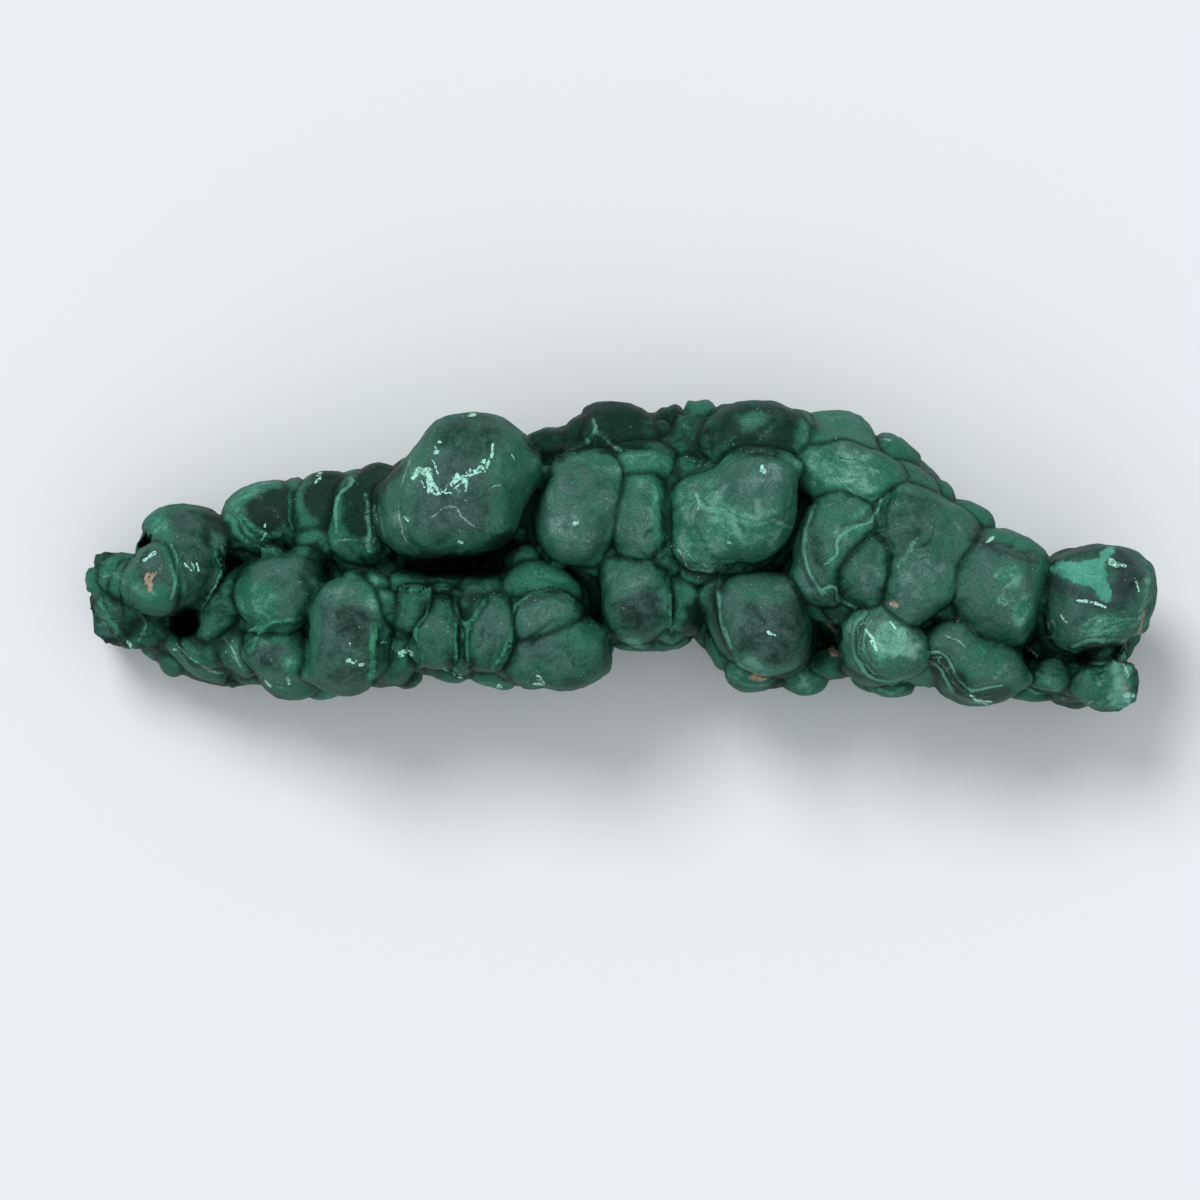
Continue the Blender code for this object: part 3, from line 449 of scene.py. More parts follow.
PALE_STREAKS = [  # fibrous pale green, where the stone is broken across its fibres
    *trail(0.9, (70.9, -13.6), (70.6, -15.6), (69.4, -17.6)),
    *trail(0.6, (69.6, -14.8), (68.8, -16.6), (67.4, -18.0)),
    *trail(0.6, (72.0, -15.4), (71.8, -17.4), (71.4, -19.6)),
    *trail(0.5, (70.6, -17.8), (69.6, -19.6), (67.6, -20.6)),
    *trail(0.7, (74.2, -3.4), (74.0, -6.0), (72.9, -8.6), (72.6, -12.4)),
    *trail(0.4, (66.4, -10.4), (69.0, -9.0), (71.8, -8.6)),
    *trail(0.4, (65.6, -11.4), (68.8, -10.4), (71.6, -10.2)),
    *trail(0.4, (64.6, -10.2), (67.2, -8.6), (70.6, -7.8)),
    *trail(0.6, (16.2, -15.4), (18.2, -15.0), (20.4, -16.0)),
    *trail(0.5, (15.6, -16.6), (17.6, -17.8), (20.6, -18.2)),
    *trail(0.5, (25.6, -16.6), (26.8, -18.4), (28.4, -17.2)),
    *trail(0.5, (37.0, -18.8), (38.6, -19.2), (40.4, -18.6)),
    *trail(0.5, (57.2, -18.4), (59.4, -19.2), (61.8, -18.8)),
    *trail(0.6, (52.8, -3.0), (54.2, -1.8), (55.2, -3.2)),
    *trail(0.6, (56.6, -5.8), (57.4, -7.6), (56.2, -9.6)),
    *trail(0.5, (53.0, -6.2), (53.9, -5.6), (54.0, -6.8), (53.2, -7.0), (53.0, -6.2)),
    *trail(0.5, (40.6, 0.6), (41.4, 1.6), (41.8, 2.6)),
    *trail(0.5, (39.2, -1.0), (39.9, -0.2), (40.4, 0.6)),
    *trail(0.5, (-35.4, 8.6), (-34.8, 4.6), (-34.9, 0.6)),
    *trail(0.4, (-33.4, 7.0), (-32.9, 3.4), (-32.3, 0.4)),
    *trail(0.5, (-3.4, 19.2), (-3.0, 17.6), (-4.4, 16.2), (-6.0, 15.4)),
    *trail(0.5, (-3.0, 17.6), (-1.6, 16.4), (0.6, 15.0)),
    *trail(0.4, (-72.6, -3.0), (-70.8, -2.6), (-69.0, -3.6)),
    *trail(0.5, (-73.4, -7.4), (-72.2, -9.8), (-70.2, -11.6)),
    *trail(0.4, (-67.4, -8.2), (-66.6, -10.0), (-67.6, -11.8)),
    *trail(0.4, (-60.6, -14.0), (-58.4, -15.4), (-55.8, -16.2)),
]
BRIGHT_PATCHES = [  # a bright green fan on the blunt end
    *trail(1.3, (61.4, -1.6), (63.4, -1.5), (65.4, -1.3), (67.2, -0.6), (68.7, 0.6)),
    *trail(1.9, (62.8, -1.9), (64.8, -2.0), (67.2, -1.7)),
    *trail(1.7, (62.4, -2.0), (64.6, -2.9), (66.5, -3.7), (67.8, -4.7), (68.4, -5.6)),
    *trail(1.6, (66.9, -1.6), (67.3, -3.0), (67.2, -4.4)),
]
TAN_SPOTS = [  # buff grains stuck on the surface
    Mark(-65.6, -2.4, -65.2, -4.4, 0.55),
    Mark(-64.6, -2.2, -65.9, -3.2, 0.3),
    Mark(30.0, -9.6, 30.3, -10.4, 0.8),
    Mark(30.2, -13.2, 30.9, -13.8, 0.8),
    Mark(38.1, -6.3, 38.6, -6.7, 0.6),
    Mark(47.3, -8.3, 47.7, -8.7, 0.45),
    Mark(18.6, -16.6, 20.6, -17.0, 0.7),
    Mark(73.6, -8.0, 73.2, -13.0, 0.5),
    Mark(71.0, -17.6, 71.6, -18.4, 0.5),
]
MARKS = {
    "chip_and_highlight": CHIPS_AND_HIGHLIGHT,
    "hairline": HAIRLINES,
    "shell_and_highlight_line": SHELL_LINES_AND_HIGHLIGHT,
    "green_line": GREEN_LINES,
    "smoky_line": SMOKY_LINES,
    "pale_streak": PALE_STREAKS,
    "bright_patch": BRIGHT_PATCHES,
    "tan_spot": TAN_SPOTS,
}

# Low swellings and hollows on the surface: middle, half sizes and turn in plan, and height.
Dome = namedtuple("Dome", "x y a b turn height")
DOMES = [
    # the tallest lump: a swelling low on its left, a flatter shoulder to the right
    Dome(-26.6, 1.8, 4.0, 4.6, 20, 0.8),
    Dome(-14.0, 14.6, 5.0, 3.0, -40, -0.6),
    Dome(-22.5, 11.8, 4.5, 2.4, 0, -0.35),
    Dome(-29.6, 9.6, 2.6, 6.0, -14, 0.9),
    Dome(-17.0, 3.4, 4.0, 3.0, 20, 0.4),
    # the lump right of the middle: a saddle between its two crowns
    Dome(14.4, 7.6, 2.2, 5.5, -20, -0.7),
    Dome(11.8, 4.4, 2.6, 3.6, 0, 0.7),
    Dome(17.6, 4.0, 5.5, 1.8, -10, 0.35),
    Dome(18.6, 10.6, 3.6, 2.8, 0, 0.3),
    # dimples
    Dome(-6.9, 3.6, 1.2, 1.2, 0, -0.35),
    Dome(-10.2, -10.6, 3.6, 1.6, 24, -0.4),
    Dome(22.6, -9.0, 3.0, 4.6, 0, 0.3),
    Dome(39.5, -11.0, 2.4, 3.0, 0, 0.3),
    Dome(66.0, -5.2, 4.4, 1.5, -16, -0.5),
    Dome(63.4, -1.0, 3.4, 2.0, 10, 0.4),
    Dome(71.0, -2.6, 3.0, 3.2, 0, 0.3),
    Dome(54.0, 1.6, 4.6, 1.3, -22, -0.45),
    Dome(-38.0, -7.0, 4.4, 1.6, 20, -0.4),
    Dome(-33.6, -6.2, 2.2, 2.0, -30, 0.6),
]

# Where lumps melt into each other more: middle, half sizes and turn in plan, and how much wider.
MELTED = [
    Dome(-71.0, -6.0, 8.0, 9.0, 0, 3.0),
    Dome(-57.0, -13.0, 9.0, 6.0, -15, 2.0),
    Dome(-51.0, 4.0, 7.5, 6.5, 10, 2.5),
    Dome(-22.0, -9.0, 11.0, 10.0, 0, 1.2),
    Dome(6.0, 16.0, 14.0, 5.0, 0, 2.0),
    Dome(38.0, 0.0, 17.0, 10.0, 0, 3.0),
    Dome(36.0, 13.5, 16.0, 8.0, -18, 3.0),
    Dome(66.0, -17.0, 9.0, 6.0, 0, 2.5),
]

# Broken and knobbly ground: middle, half sizes and turn in plan, and height of its crests.
BROKEN = [
    Dome(-73.0, -6.5, 6.5, 9.0, 0, 1.0),
    Dome(-68.0, -10.5, 5.5, 5.0, 0, 0.8),
    Dome(-58.0, -14.5, 6.0, 4.0, -25, 0.6),
    Dome(-3.0, 16.2, 4.0, 3.4, 0, 0.8),
    Dome(-9.0, 15.0, 5.0, 4.0, 0, 0.6),
    Dome(9.5, 17.0, 4.5, 4.0, 0, 0.6),
    Dome(29.5, -11.5, 3.6, 5.0, 0, 0.8),
    Dome(20.0, -17.0, 5.0, 2.6, -10, 0.5),
    Dome(62.0, -16.5, 5.0, 4.0, 0, 0.7),
    Dome(70.0, -17.5, 5.5, 6.5, 0, 0.9),
    Dome(75.0, -8.0, 2.4, 7.0, 0, 0.25),
    Dome(-30.5, -13.0, 4.0, 4.5, 0, 0.7),
    Dome(-62.5, 5.5, 4.0, 3.0, 0, 0.5),
]

# Cracks and ledges follow lines in plan. A ledge drops on the right of its line.
Relief = namedtuple("Relief", "width depth line")
CRACKS = [
    Relief(0.5, 0.55, [(26.8, 7.4), (29.8, 7.0), (33.0, 8.4), (35.4, 7.6), (38.8, 9.0), (43.0, 8.0)]),
    Relief(0.5, 0.6, [(38.4, 8.6), (36.9, 6.2), (37.2, 3.8), (35.0, 2.4), (32.4, 0.4), (30.8, -2.0)]),
    Relief(0.45, 0.5, [(37.2, 3.8), (38.3, 1.0), (38.7, -2.8), (38.3, -6.2)]),
    Relief(0.4, 0.35, [(30.8, -2.0), (30.4, -4.6), (31.6, -6.6)]),
    Relief(0.35, 0.3, [(38.2, -0.2), (41.0, 0.8), (42.2, 2.2)]),
    Relief(0.35, 0.3, [(30.6, 10.9), (31.4, 9.3), (32.8, 8.4)]),
    Relief(0.4, 0.4, [(10.9, 3.8), (11.8, 1.2), (13.8, -0.2), (16.4, -0.6)]),
    Relief(0.4, 0.4, [(-12.6, -12.2), (-9.2, -9.6), (-5.0, -8.8), (-1.4, -9.6)]),
    Relief(0.5, 0.45, [(66.8, -9.0), (69.4, -8.2), (72.0, -8.6), (74.4, -7.4)]),
    Relief(0.4, 0.35, [(-39.6, -2.6), (-36.0, -3.4), (-33.6, -3.0)]),
    Relief(0.35, 0.3, [(-35.0, -8.6), (-33.0, -9.0), (-31.6, -8.0)]),
]
LEDGES = [
    Relief(1.6, 0.55, [(16.8, -14.4), (14.9, -10.4), (13.9, -6.8), (14.6, -3.4), (17.0, -0.8)]),
    Relief(1.4, 0.5, [(40.6, -18.0), (36.4, -17.4), (33.4, -14.8), (32.1, -11.0), (33.6, -7.4)]),
    Relief(1.2, 0.4, [(52.0, -18.8), (48.8, -18.2), (46.6, -14.2), (44.0, -13.2)]),
    Relief(1.3, 0.45, [(29.3, -3.6), (27.0, -0.6), (26.4, 2.8), (27.2, 6.2)]),
    Relief(1.0, 0.5, [(33.6, -7.2), (31.6, -6.9), (30.4, -4.3), (29.3, -4.6)]),
    Relief(1.1, 0.35, [(-30.2, 8.0), (-29.4, 3.6), (-28.6, 2.2)]),
    Relief(1.0, 0.35, [(11.6, 9.4), (12.6, 6.6), (14.4, 5.6), (18.2, 3.9), (22.0, 5.0)]),
]

# Lumps that run into each other with no groove between: their crowd, their places in it, and the
# softness of the join in mm.
FUSED = [
    ("left_tip", (9, 10, 12), 3.5),
    ("left_front", (1, 2, 3), 2.5),
    ("left_front", (4, 5), 2.0),
    ("boulder", (0, 1, 2, 3, 4, 5), 3.0),
    ("cells", (14, 15), 0.9),
    ("middle", (0, 12, 13), 2.5),
    ("middle_right", (0, 1, 2, 3), 3.5),
    ("top_back", (5, 6, 7), 2.5),
    ("right_back", (0, 1), 2.5),
    ("right_main", (0, 1), 2.5),
    ("right_main", (4, 5, 6), 2.2),
    ("right_main", (7, 8), 2.0),
    ("right_end", (0, 1), 2.5),
    ("right_end", (6, 7), 2.0),
    ("right_front", (3, 4, 5), 1.2),
]

# A lump is a pillow: its middle in plan, the height of its top, its half sizes, and its turn about
# Z in degrees. Sizes are in millimetres.
Lump = namedtuple("Lump", "x y top a b c turn")

LUMPS = {
    "left_tip": [
        Lump(-73.3, -3.6, 17.0, 2.0, 1.8, 3.0, 0),
        Lump(-70.6, -1.9, 19.0, 2.6, 2.1, 3.5, 15),
        Lump(-69.2, -2.6, 20.5, 1.4, 1.4, 2.0, 0),
        Lump(-71.8, -1.2, 17.3, 1.6, 1.2, 2.5, 0),
        Lump(-70.2, -8.3, 18.0, 4.1, 3.7, 6.0, -25),
        Lump(-72.3, -8.3, 15.5, 2.0, 3.2, 4.5, 20),
        Lump(-70.5, -10.7, 14.5, 3.2, 1.8, 4.5, -25),
        Lump(-67.5, -10.3, 17.8, 3.2, 3.0, 5.5, 0),
        Lump(-65.1, -2.6, 29.5, 2.8, 4.4, 6.5, 8),
        Lump(-60.6, -0.8, 27.5, 5.2, 6.5, 9.0, 8),
        Lump(-63.2, 4.0, 22.5, 3.2, 2.9, 6.0, 30),
        Lump(-66.8, 1.6, 18.5, 1.7, 1.0, 2.6, 38),
        Lump(-57.9, 3.9, 23.0, 3.0, 2.2, 6.0, -8),
        Lump(-54.1, 2.7, 21.5, 1.6, 3.6, 6.0, -8),
    ],
    "left_foot": [
        Lump(-56.4, -10.9, 21.5, 3.5, 4.6, 7.0, -25),
        Lump(-59.2, -14.7, 18.5, 4.4, 1.6, 4.0, -36),
        Lump(-63.0, -14.6, 14.5, 1.7, 2.6, 5.0, 20),
        Lump(-57.2, -16.2, 14.5, 5.2, 1.6, 5.0, -8),
        Lump(-53.2, -13.9, 22.0, 1.6, 3.5, 5.0, 28),
        Lump(-54.8, -5.4, 24.5, 2.3, 6.2, 6.0, -45),
        Lump(-51.8, -16.4, 16.0, 3.0, 1.5, 4.5, -12),
        Lump(-58.2, -8.0, 18.5, 1.8, 1.3, 3.0, 20),
        Lump(-55.6, -8.7, 19.5, 1.7, 1.9, 4.0, 0),
    ],
    "left_back": [
        Lump(-49.8, 5.9, 24.5, 6.5, 4.6, 8.0, 27),
        Lump(-51.6, 3.3, 22.3, 4.3, 1.5, 4.0, -38),
        Lump(-50.6, 1.2, 22.4, 5.0, 2.4, 5.0, -14),
        Lump(-41.5, 7.7, 25.5, 4.5, 4.5, 7.5, 0),
        Lump(-45.9, 8.0, 23.5, 2.6, 3.4, 6.0, 0),
        Lump(-42.6, 2.2, 25.4, 2.0, 2.1, 4.0, 0),
        Lump(-46.6, 2.8, 21.0, 1.6, 2.6, 4.0, 0),
        Lump(-34.6, 6.3, 28.5, 4.8, 6.9, 9.0, -20),
        Lump(-36.7, -0.3, 25.0, 2.9, 2.8, 5.0, 0),
        Lump(-33.6, 3.3, 26.5, 1.4, 4.0, 4.0, 15),
        Lump(-32.3, -1.5, 25.0, 1.4, 1.2, 2.5, 0),
        Lump(-30.6, -0.7, 24.0, 1.1, 1.0, 2.0, 0),
        Lump(-40.8, 1.0, 19.0, 1.6, 2.8, 4.0, 0),
    ],
    "left_front": [
        Lump(-46.5, -4.7, 31.5, 5.7, 5.4, 8.5, 0),
        Lump(-47.4, -13.2, 27.5, 4.1, 3.9, 7.0, 0),
        Lump(-46.0, -16.8, 21.5, 4.4, 3.1, 7.0, -5),
        Lump(-43.8, -12.0, 22.0, 2.2, 4.2, 5.0, 0),
        Lump(-38.3, -10.8, 35.0, 4.95, 7.8, 9.0, 3),
        Lump(-38.4, -15.5, 31.0, 4.7, 3.7, 8.0, 0),
        Lump(-33.3, -6.9, 32.5, 1.9, 1.8, 3.0, 0),
        Lump(-34.3, -4.5, 31.5, 1.7, 1.5, 3.0, 0),
        Lump(-31.6, -14.4, 29.0, 3.2, 4.0, 7.0, 10),
        Lump(-33.0, -16.5, 25.0, 2.8, 1.9, 6.0, 0),
        Lump(-29.9, -16.9, 21.5, 2.0, 1.7, 5.0, 0),
    ],
    "boulder": [
        Lump(-20.8, 11.2, 43.0, 7.4, 8.4, 11.0, -12),
        Lump(-16.7, 13.0, 42.0, 5.8, 4.9, 9.5, -35),
        Lump(-24.2, 6.3, 42.0, 6.6, 6.4, 10.0, 0),
        Lump(-19.2, 6.5, 41.0, 4.5, 5.2, 9.0, 0),
        Lump(-24.2, 11.0, 42.3, 5.0, 5.0, 9.5, 0),
        Lump(-30.2, 5.8, 38.0, 2.6, 5.2, 9.5, 6),
    ],
    "cells": [
        Lump(-28.6, -3.9, 30.2, 2.9, 1.9, 4.0, 0),
        Lump(-24.0, -3.9, 30.4, 2.8, 1.6, 4.0, 0),
        Lump(-19.4, -4.7, 31.2, 2.9, 2.2, 4.5, 0),
        Lump(-20.5, -7.3, 31.4, 1.7, 2.1, 4.0, 0),
        Lump(-28.6, -7.6, 32.0, 2.6, 2.9, 5.0, 10),
        Lump(-25.3, -10.9, 32.6, 2.8, 4.8, 6.0, -5),
        Lump(-21.8, -12.4, 31.3, 1.3, 3.7, 4.5, 0),
        Lump(-17.9, -10.4, 33.0, 3.1, 5.0, 6.5, -12),
        Lump(-15.2, -14.0, 29.6, 1.6, 2.9, 4.0, 10),
        Lump(-23.6, -14.8, 27.5, 4.0, 2.6, 7.0, 0),
        Lump(-17.2, -15.9, 26.5, 4.1, 2.5, 7.0, -8),
        Lump(-27.3, -14.5, 25.5, 2.2, 2.0, 5.0, 0),
        Lump(-10.6, -3.9, 32.5, 5.4, 3.3, 6.5, -22),
        Lump(-10.0, -8.3, 33.6, 4.8, 3.6, 6.5, -12),
        Lump(-6.9, -13.6, 34.0, 6.1, 5.2, 9.5, 15),
        Lump(-12.0, -14.6, 31.6, 3.3, 3.9, 7.5, 0),
        Lump(-13.5, -0.3, 31.2, 2.8, 1.7, 4.0, 5),
        Lump(-13.7, 2.6, 29.0, 1.0, 1.3, 2.0, 0),
    ],
    "middle": [
        Lump(-5.0, 8.0, 35.5, 4.6, 5.6, 9.5, -18),
        Lump(3.0, 5.5, 34.0, 3.5, 5.2, 7.5, 0),
        Lump(7.0, 4.0, 31.7, 1.4, 5.6, 5.0, 0),
        Lump(3.4, 12.3, 31.2, 3.9, 2.3, 6.0, 0),
        Lump(10.1, 10.8, 29.5, 2.8, 1.9, 5.0, -5),
        Lump(2.1, -5.9, 33.0, 4.7, 5.9, 9.0, 0),
        Lump(-3.0, -0.7, 29.0, 2.4, 1.4, 3.0, 25),
        Lump(8.9, -6.6, 29.5, 2.0, 3.9, 6.0, 5),
        Lump(10.4, -7.2, 27.5, 1.5, 3.9, 6.0, 0),
        Lump(7.4, -10.5, 26.0, 1.7, 1.8, 4.0, 0),
        Lump(4.6, -11.5, 20.5, 5.6, 1.9, 4.5, 2),
        Lump(2.4, -11.9, 22.0, 2.2, 0.9, 2.0, -22),
        Lump(-7.2, 4.6, 35.0, 4.5, 4.7, 9.0, -12),
        Lump(-6.6, 1.6, 34.0, 2.9, 2.9, 7.5, 0),
    ],
    "middle_right": [
        Lump(19.3, 6.7, 39.5, 5.1, 6.4, 10.0, 0),
        Lump(20.1, 8.2, 39.6, 4.0, 5.2, 9.5, 0),
        Lump(16.0, 4.2, 37.5, 5.6, 4.9, 9.0, 0),
        Lump(11.3, 4.1, 35.3, 3.3, 5.1, 8.0, 8),
        Lump(11.8, -0.4, 31.0, 2.9, 3.0, 6.0, -20),
        Lump(20.5, -9.0, 35.0, 5.8, 7.1, 9.5, 26),
        Lump(17.3, -8.3, 31.5, 4.9, 6.4, 9.0, 12),
        Lump(18.6, -16.0, 23.0, 3.5, 2.9, 6.0, -8),
        Lump(26.6, -17.2, 20.0, 3.2, 2.6, 5.0, -5),
        Lump(23.2, -16.8, 18.5, 1.9, 1.3, 4.0, 0),
        Lump(14.3, -12.6, 22.0, 1.8, 3.3, 6.0, 22),
        Lump(30.4, -14.8, 21.0, 2.9, 2.4, 4.0, 0),
    ],
    "top_back": [
        Lump(0.2, 17.0, 26.8, 6.1, 4.7, 8.0, -12),
        Lump(-4.6, 17.9, 25.4, 3.0, 2.0, 4.0, 14),
        Lump(0.4, 14.3, 25.5, 3.1, 1.3, 3.0, 0),
        Lump(-5.2, 15.2, 25.6, 2.4, 1.0, 2.5, 50),
        Lump(6.2, 16.9, 25.5, 1.6, 2.1, 4.0, 0),
        Lump(10.0, 15.2, 28.0, 3.4, 2.6, 5.0, 0),
        Lump(10.2, 18.0, 25.5, 1.8, 1.2, 4.0, 20),
        Lump(12.5, 19.4, 23.0, 2.5, 2.2, 5.0, -35),
        Lump(16.2, 19.5, 22.5, 2.9, 1.8, 5.0, -10),
        Lump(14.0, 18.1, 25.0, 2.6, 1.2, 4.0, 25),
        Lump(19.4, 16.8, 32.5, 6.8, 5.0, 9.0, 0),
        Lump(13.4, 14.0, 28.0, 2.6, 1.5, 4.0, 0),
        Lump(25.9, 16.7, 28.5, 1.3, 3.1, 5.0, 0),
        Lump(-9.9, 15.3, 24.0, 3.6, 2.6, 5.0, 4),
        Lump(-9.0, 13.1, 24.0, 2.5, 1.5, 3.5, 0),
    ],
    "right_back": [
        Lump(31.0, 17.0, 26.0, 5.4, 3.3, 7.0, -8),
        Lump(31.0, 14.8, 30.5, 5.2, 3.4, 6.0, 0),
        Lump(32.0, 10.9, 33.5, 7.1, 3.8, 7.0, -5),
        Lump(39.5, 13.5, 25.5, 4.6, 3.0, 7.0, -42),
        Lump(41.0, 9.8, 29.5, 4.0, 2.8, 6.0, -20),
        Lump(45.0, 8.7, 26.0, 2.6, 2.0, 6.0, -38),
        Lump(49.5, 5.1, 27.0, 3.8, 2.1, 6.0, -32),
    ],
    "right_main": [
        Lump(30.6, 3.0, 36.0, 5.2, 5.4, 8.5, -15),
        Lump(27.9, -1.9, 34.8, 3.2, 5.0, 7.5, 12),
        Lump(34.0, -1.3, 36.0, 3.6, 5.0, 7.0, 0),
        Lump(30.7, -6.2, 31.0, 2.4, 2.7, 5.5, 20),
        Lump(41.0, 4.2, 36.0, 5.4, 4.5, 8.0, -10),
        Lump(42.0, -3.9, 36.0, 4.2, 5.3, 8.0, 0),
        Lump(46.4, 3.1, 34.5, 3.5, 4.1, 7.0, 0),
        Lump(53.2, -4.8, 35.0, 6.6, 8.1, 10.0, 0),
        Lump(55.6, -0.2, 33.5, 5.5, 3.2, 7.5, -18),
        Lump(27.4, -4.0, 29.5, 3.3, 5.8, 7.0, 25),
    ],
    "right_end": [
        Lump(67.2, -4.6, 33.0, 7.3, 6.2, 11.0, 0),
        Lump(66.4, -8.8, 31.5, 5.9, 4.8, 9.0, 0),
        Lump(69.8, -10.8, 25.0, 2.0, 7.0, 12.0, -3),
        Lump(60.6, -16.5, 25.0, 2.4, 2.1, 4.5, 0),
        Lump(64.2, -16.9, 24.0, 1.9, 2.1, 4.0, 0),
        Lump(62.3, -18.6, 21.0, 2.8, 1.6, 4.0, 0),
        Lump(68.3, -17.4, 26.5, 3.7, 3.7, 7.0, -15),
        Lump(69.3, -19.3, 22.0, 2.9, 2.3, 5.0, 0),
    ],
    "right_front": [
        Lump(37.4, -12.5, 34.0, 5.6, 5.4, 8.5, 0),
        Lump(35.9, -12.6, 30.5, 4.6, 5.8, 8.0, 0),
        Lump(38.8, -18.0, 19.0, 3.4, 1.9, 5.0, 0),
        Lump(47.8, -12.2, 32.0, 4.4, 3.3, 7.0, -12),
        Lump(51.3, -15.8, 31.5, 5.9, 5.1, 8.0, -12),
        Lump(48.5, -16.9, 28.5, 4.3, 3.4, 7.0, -20),
        Lump(59.0, -18.8, 20.5, 3.9, 1.6, 5.0, 0),
        Lump(57.2, -15.6, 24.0, 1.8, 2.0, 4.0, 0),
    ],
}

# Broad low pillows under each crowd of lumps, which keep the grooves between them shallow.
BEDS = [
    Lump(-70.0, -6.5, 14.5, 4.5, 5.5, 8.0, 0),
    Lump(-61.5, -7.0, 16.5, 5.5, 7.5, 10.0, 0),
    Lump(-57.0, -11.0, 17.0, 6.5, 5.5, 9.0, 0),
    Lump(-63.5, -11.0, 14.5, 5.0, 4.0, 9.0, 0),
    Lump(-42.5, -13.5, 20.0, 6.0, 5.0, 12.0, 0),
    Lump(-48.0, 4.5, 20.5, 8.0, 5.0, 10.0, 10),
    Lump(-47.0, -9.5, 24.5, 5.5, 8.0, 12.0, 0),
    Lump(-38.0, 2.0, 20.5, 6.0, 8.5, 10.0, 0),
    Lump(-33.5, -12.0, 26.0, 6.5, 6.0, 12.0, 0),
    Lump(-22.5, 8.0, 33.0, 6.5, 8.5, 14.0, 0),
    Lump(-22.5, -9.2, 29.8, 8.6, 6.8, 14.0, 0),
    Lump(-10.5, -8.5, 31.0, 6.0, 8.0, 14.0, -15),
    Lump(0.0, 5.0, 29.5, 8.0, 8.0, 14.0, 0),
    Lump(4.5, -5.0, 26.5, 6.5, 6.5, 12.0, 0),
    Lump(5.0, 15.5, 23.0, 12.0, 4.5, 10.0, 0),
    Lump(16.0, 5.0, 33.0, 8.0, 8.0, 16.0, 0),
    Lump(13.0, -7.0, 19.5, 4.0, 6.0, 10.0, 0),
    Lump(21.0, -9.0, 27.0, 7.5, 7.5, 14.0, 0),
    Lump(22.0, 15.0, 25.0, 8.0, 5.0, 12.0, 0),
    Lump(35.0, 11.0, 26.0, 12.0, 6.0, 12.0, -18),
    Lump(36.0, 0.5, 33.5, 10.0, 7.0, 16.0, 0),
    Lump(47.0, -2.5, 32.0, 8.0, 7.5, 14.0, -20),
    Lump(44.0, -13.5, 27.0, 11.0, 5.0, 12.0, -6),
    Lump(65.0, -8.0, 26.0, 7.0, 7.0, 14.0, 0),
    Lump(63.0, -17.0, 19.5, 8.0, 3.5, 8.0, 0),
]

# The mass of the stone, from end to end. Its lower half reaches past the resting face.
CORE = [
    Lump(-66.0, -5.5, 13.5, 7.0, 5.5, 15.0, 0),
    Lump(-51.0, -4.5, 16.5, 14.0, 9.5, 20.0, 0),
    Lump(-31.0, -0.5, 20.5, 15.0, 12.0, 26.0, 0),
    Lump(-10.0, 0.5, 20.5, 14.5, 13.0, 26.0, 0),
    Lump(12.0, 3.0, 20.5, 15.0, 13.0, 26.0, 0),
    Lump(32.0, 0.0, 20.5, 15.0, 13.5, 26.0, 0),
    Lump(50.0, -7.0, 20.0, 13.5, 10.5, 25.0, 0),
    Lump(64.5, -10.0, 17.5, 8.0, 8.5, 20.0, 0),
]

# The stone's outline in plan, anticlockwise from the thin end, which the skirt lumps stay inside.
OUTLINE = [
    (-75.0, -4.0), (-74.0, -8.5), (-71.0, -12.0), (-67.5, -13.3), (-65.0, -15.5), (-60.4, -18.2),
    (-52.5, -17.0), (-45.5, -20.0), (-37.5, -19.5), (-32.0, -18.4), (-27.0, -16.8),
    (-15.0, -18.6), (-9.0, -19.3), (-3.0, -17.5), (-0.6, -12.5), (4.5, -13.5), (12.0, -11.5),
    (15.0, -16.5), (20.0, -19.0), (27.0, -19.5), (32.0, -17.5), (38.0, -19.8), (44.0, -18.0),
    (50.0, -20.8), (60.0, -20.4), (67.8, -21.8), (70.6, -18.0), (71.0, -10.0), (72.6, -4.8),
    (70.6, -1.0), (66.5, 1.8), (61.6, 0.8), (53.5, 4.0), (47.5, 8.0), (42.0, 14.8), (36.5, 17.3),
    (30.0, 20.4), (21.0, 21.4), (12.8, 20.6), (8.0, 17.6), (0.0, 21.6), (-5.5, 20.2),
    (-9.0, 17.8), (-13.0, 18.2), (-21.5, 19.8), (-28.5, 15.0), (-33.0, 12.6), (-39.0, 12.4),
    (-45.6, 11.4), (-50.0, 10.4), (-56.0, 6.5), (-62.5, 7.1), (-67.0, 1.8), (-71.5, 0.2),
]  # fmt: skip

# Rings of lumps run round the stone's sides, under the lumps that the outline belongs to.
SKIRT_SEED = 11
SKIRT_STEP = 6.6  # from one lump to the next, along the outline
SKIRT_RINGS = (  # share of the rim's height that the middles stand at, half size, inset
    (0.26, 4.5, 2.2),
    (0.68, 4.3, 0.4),
    (1.02, 4.0, 2.4),
)
SIDE_TOP_X = -50.0  # the third ring runs only from here on, where the stone is high
RIM_LOW, RIM_HIGH = 8.5, 15.0  # the rim's height at the thin end, and from RIM_FULL_X on
RIM_THIN_X, RIM_FULL_X = -74.0, -48.0
MARKS_FROM = 0.85  # share of the rim's height below which there are no marks

# Deep holes between the lumps, as pillows that are cut away.
PITS = [
    Lump(-61.0, -9.5, 24.0, 1.5, 1.6, 9.0, 0),
    Lump(68.0, -13.8, 27.0, 2.9, 1.1, 5.0, 12),
    Lump(-66.6, 1.9, 20.0, 1.0, 0.5, 2.5, 35),
]


def rim_height(x):
    """Height that the side of the stone rises to, under its outermost lumps."""
    along = (x - RIM_THIN_X) / (RIM_FULL_X - RIM_THIN_X)
    return RIM_LOW + (RIM_HIGH - RIM_LOW) * min(1.0, max(0.0, along))


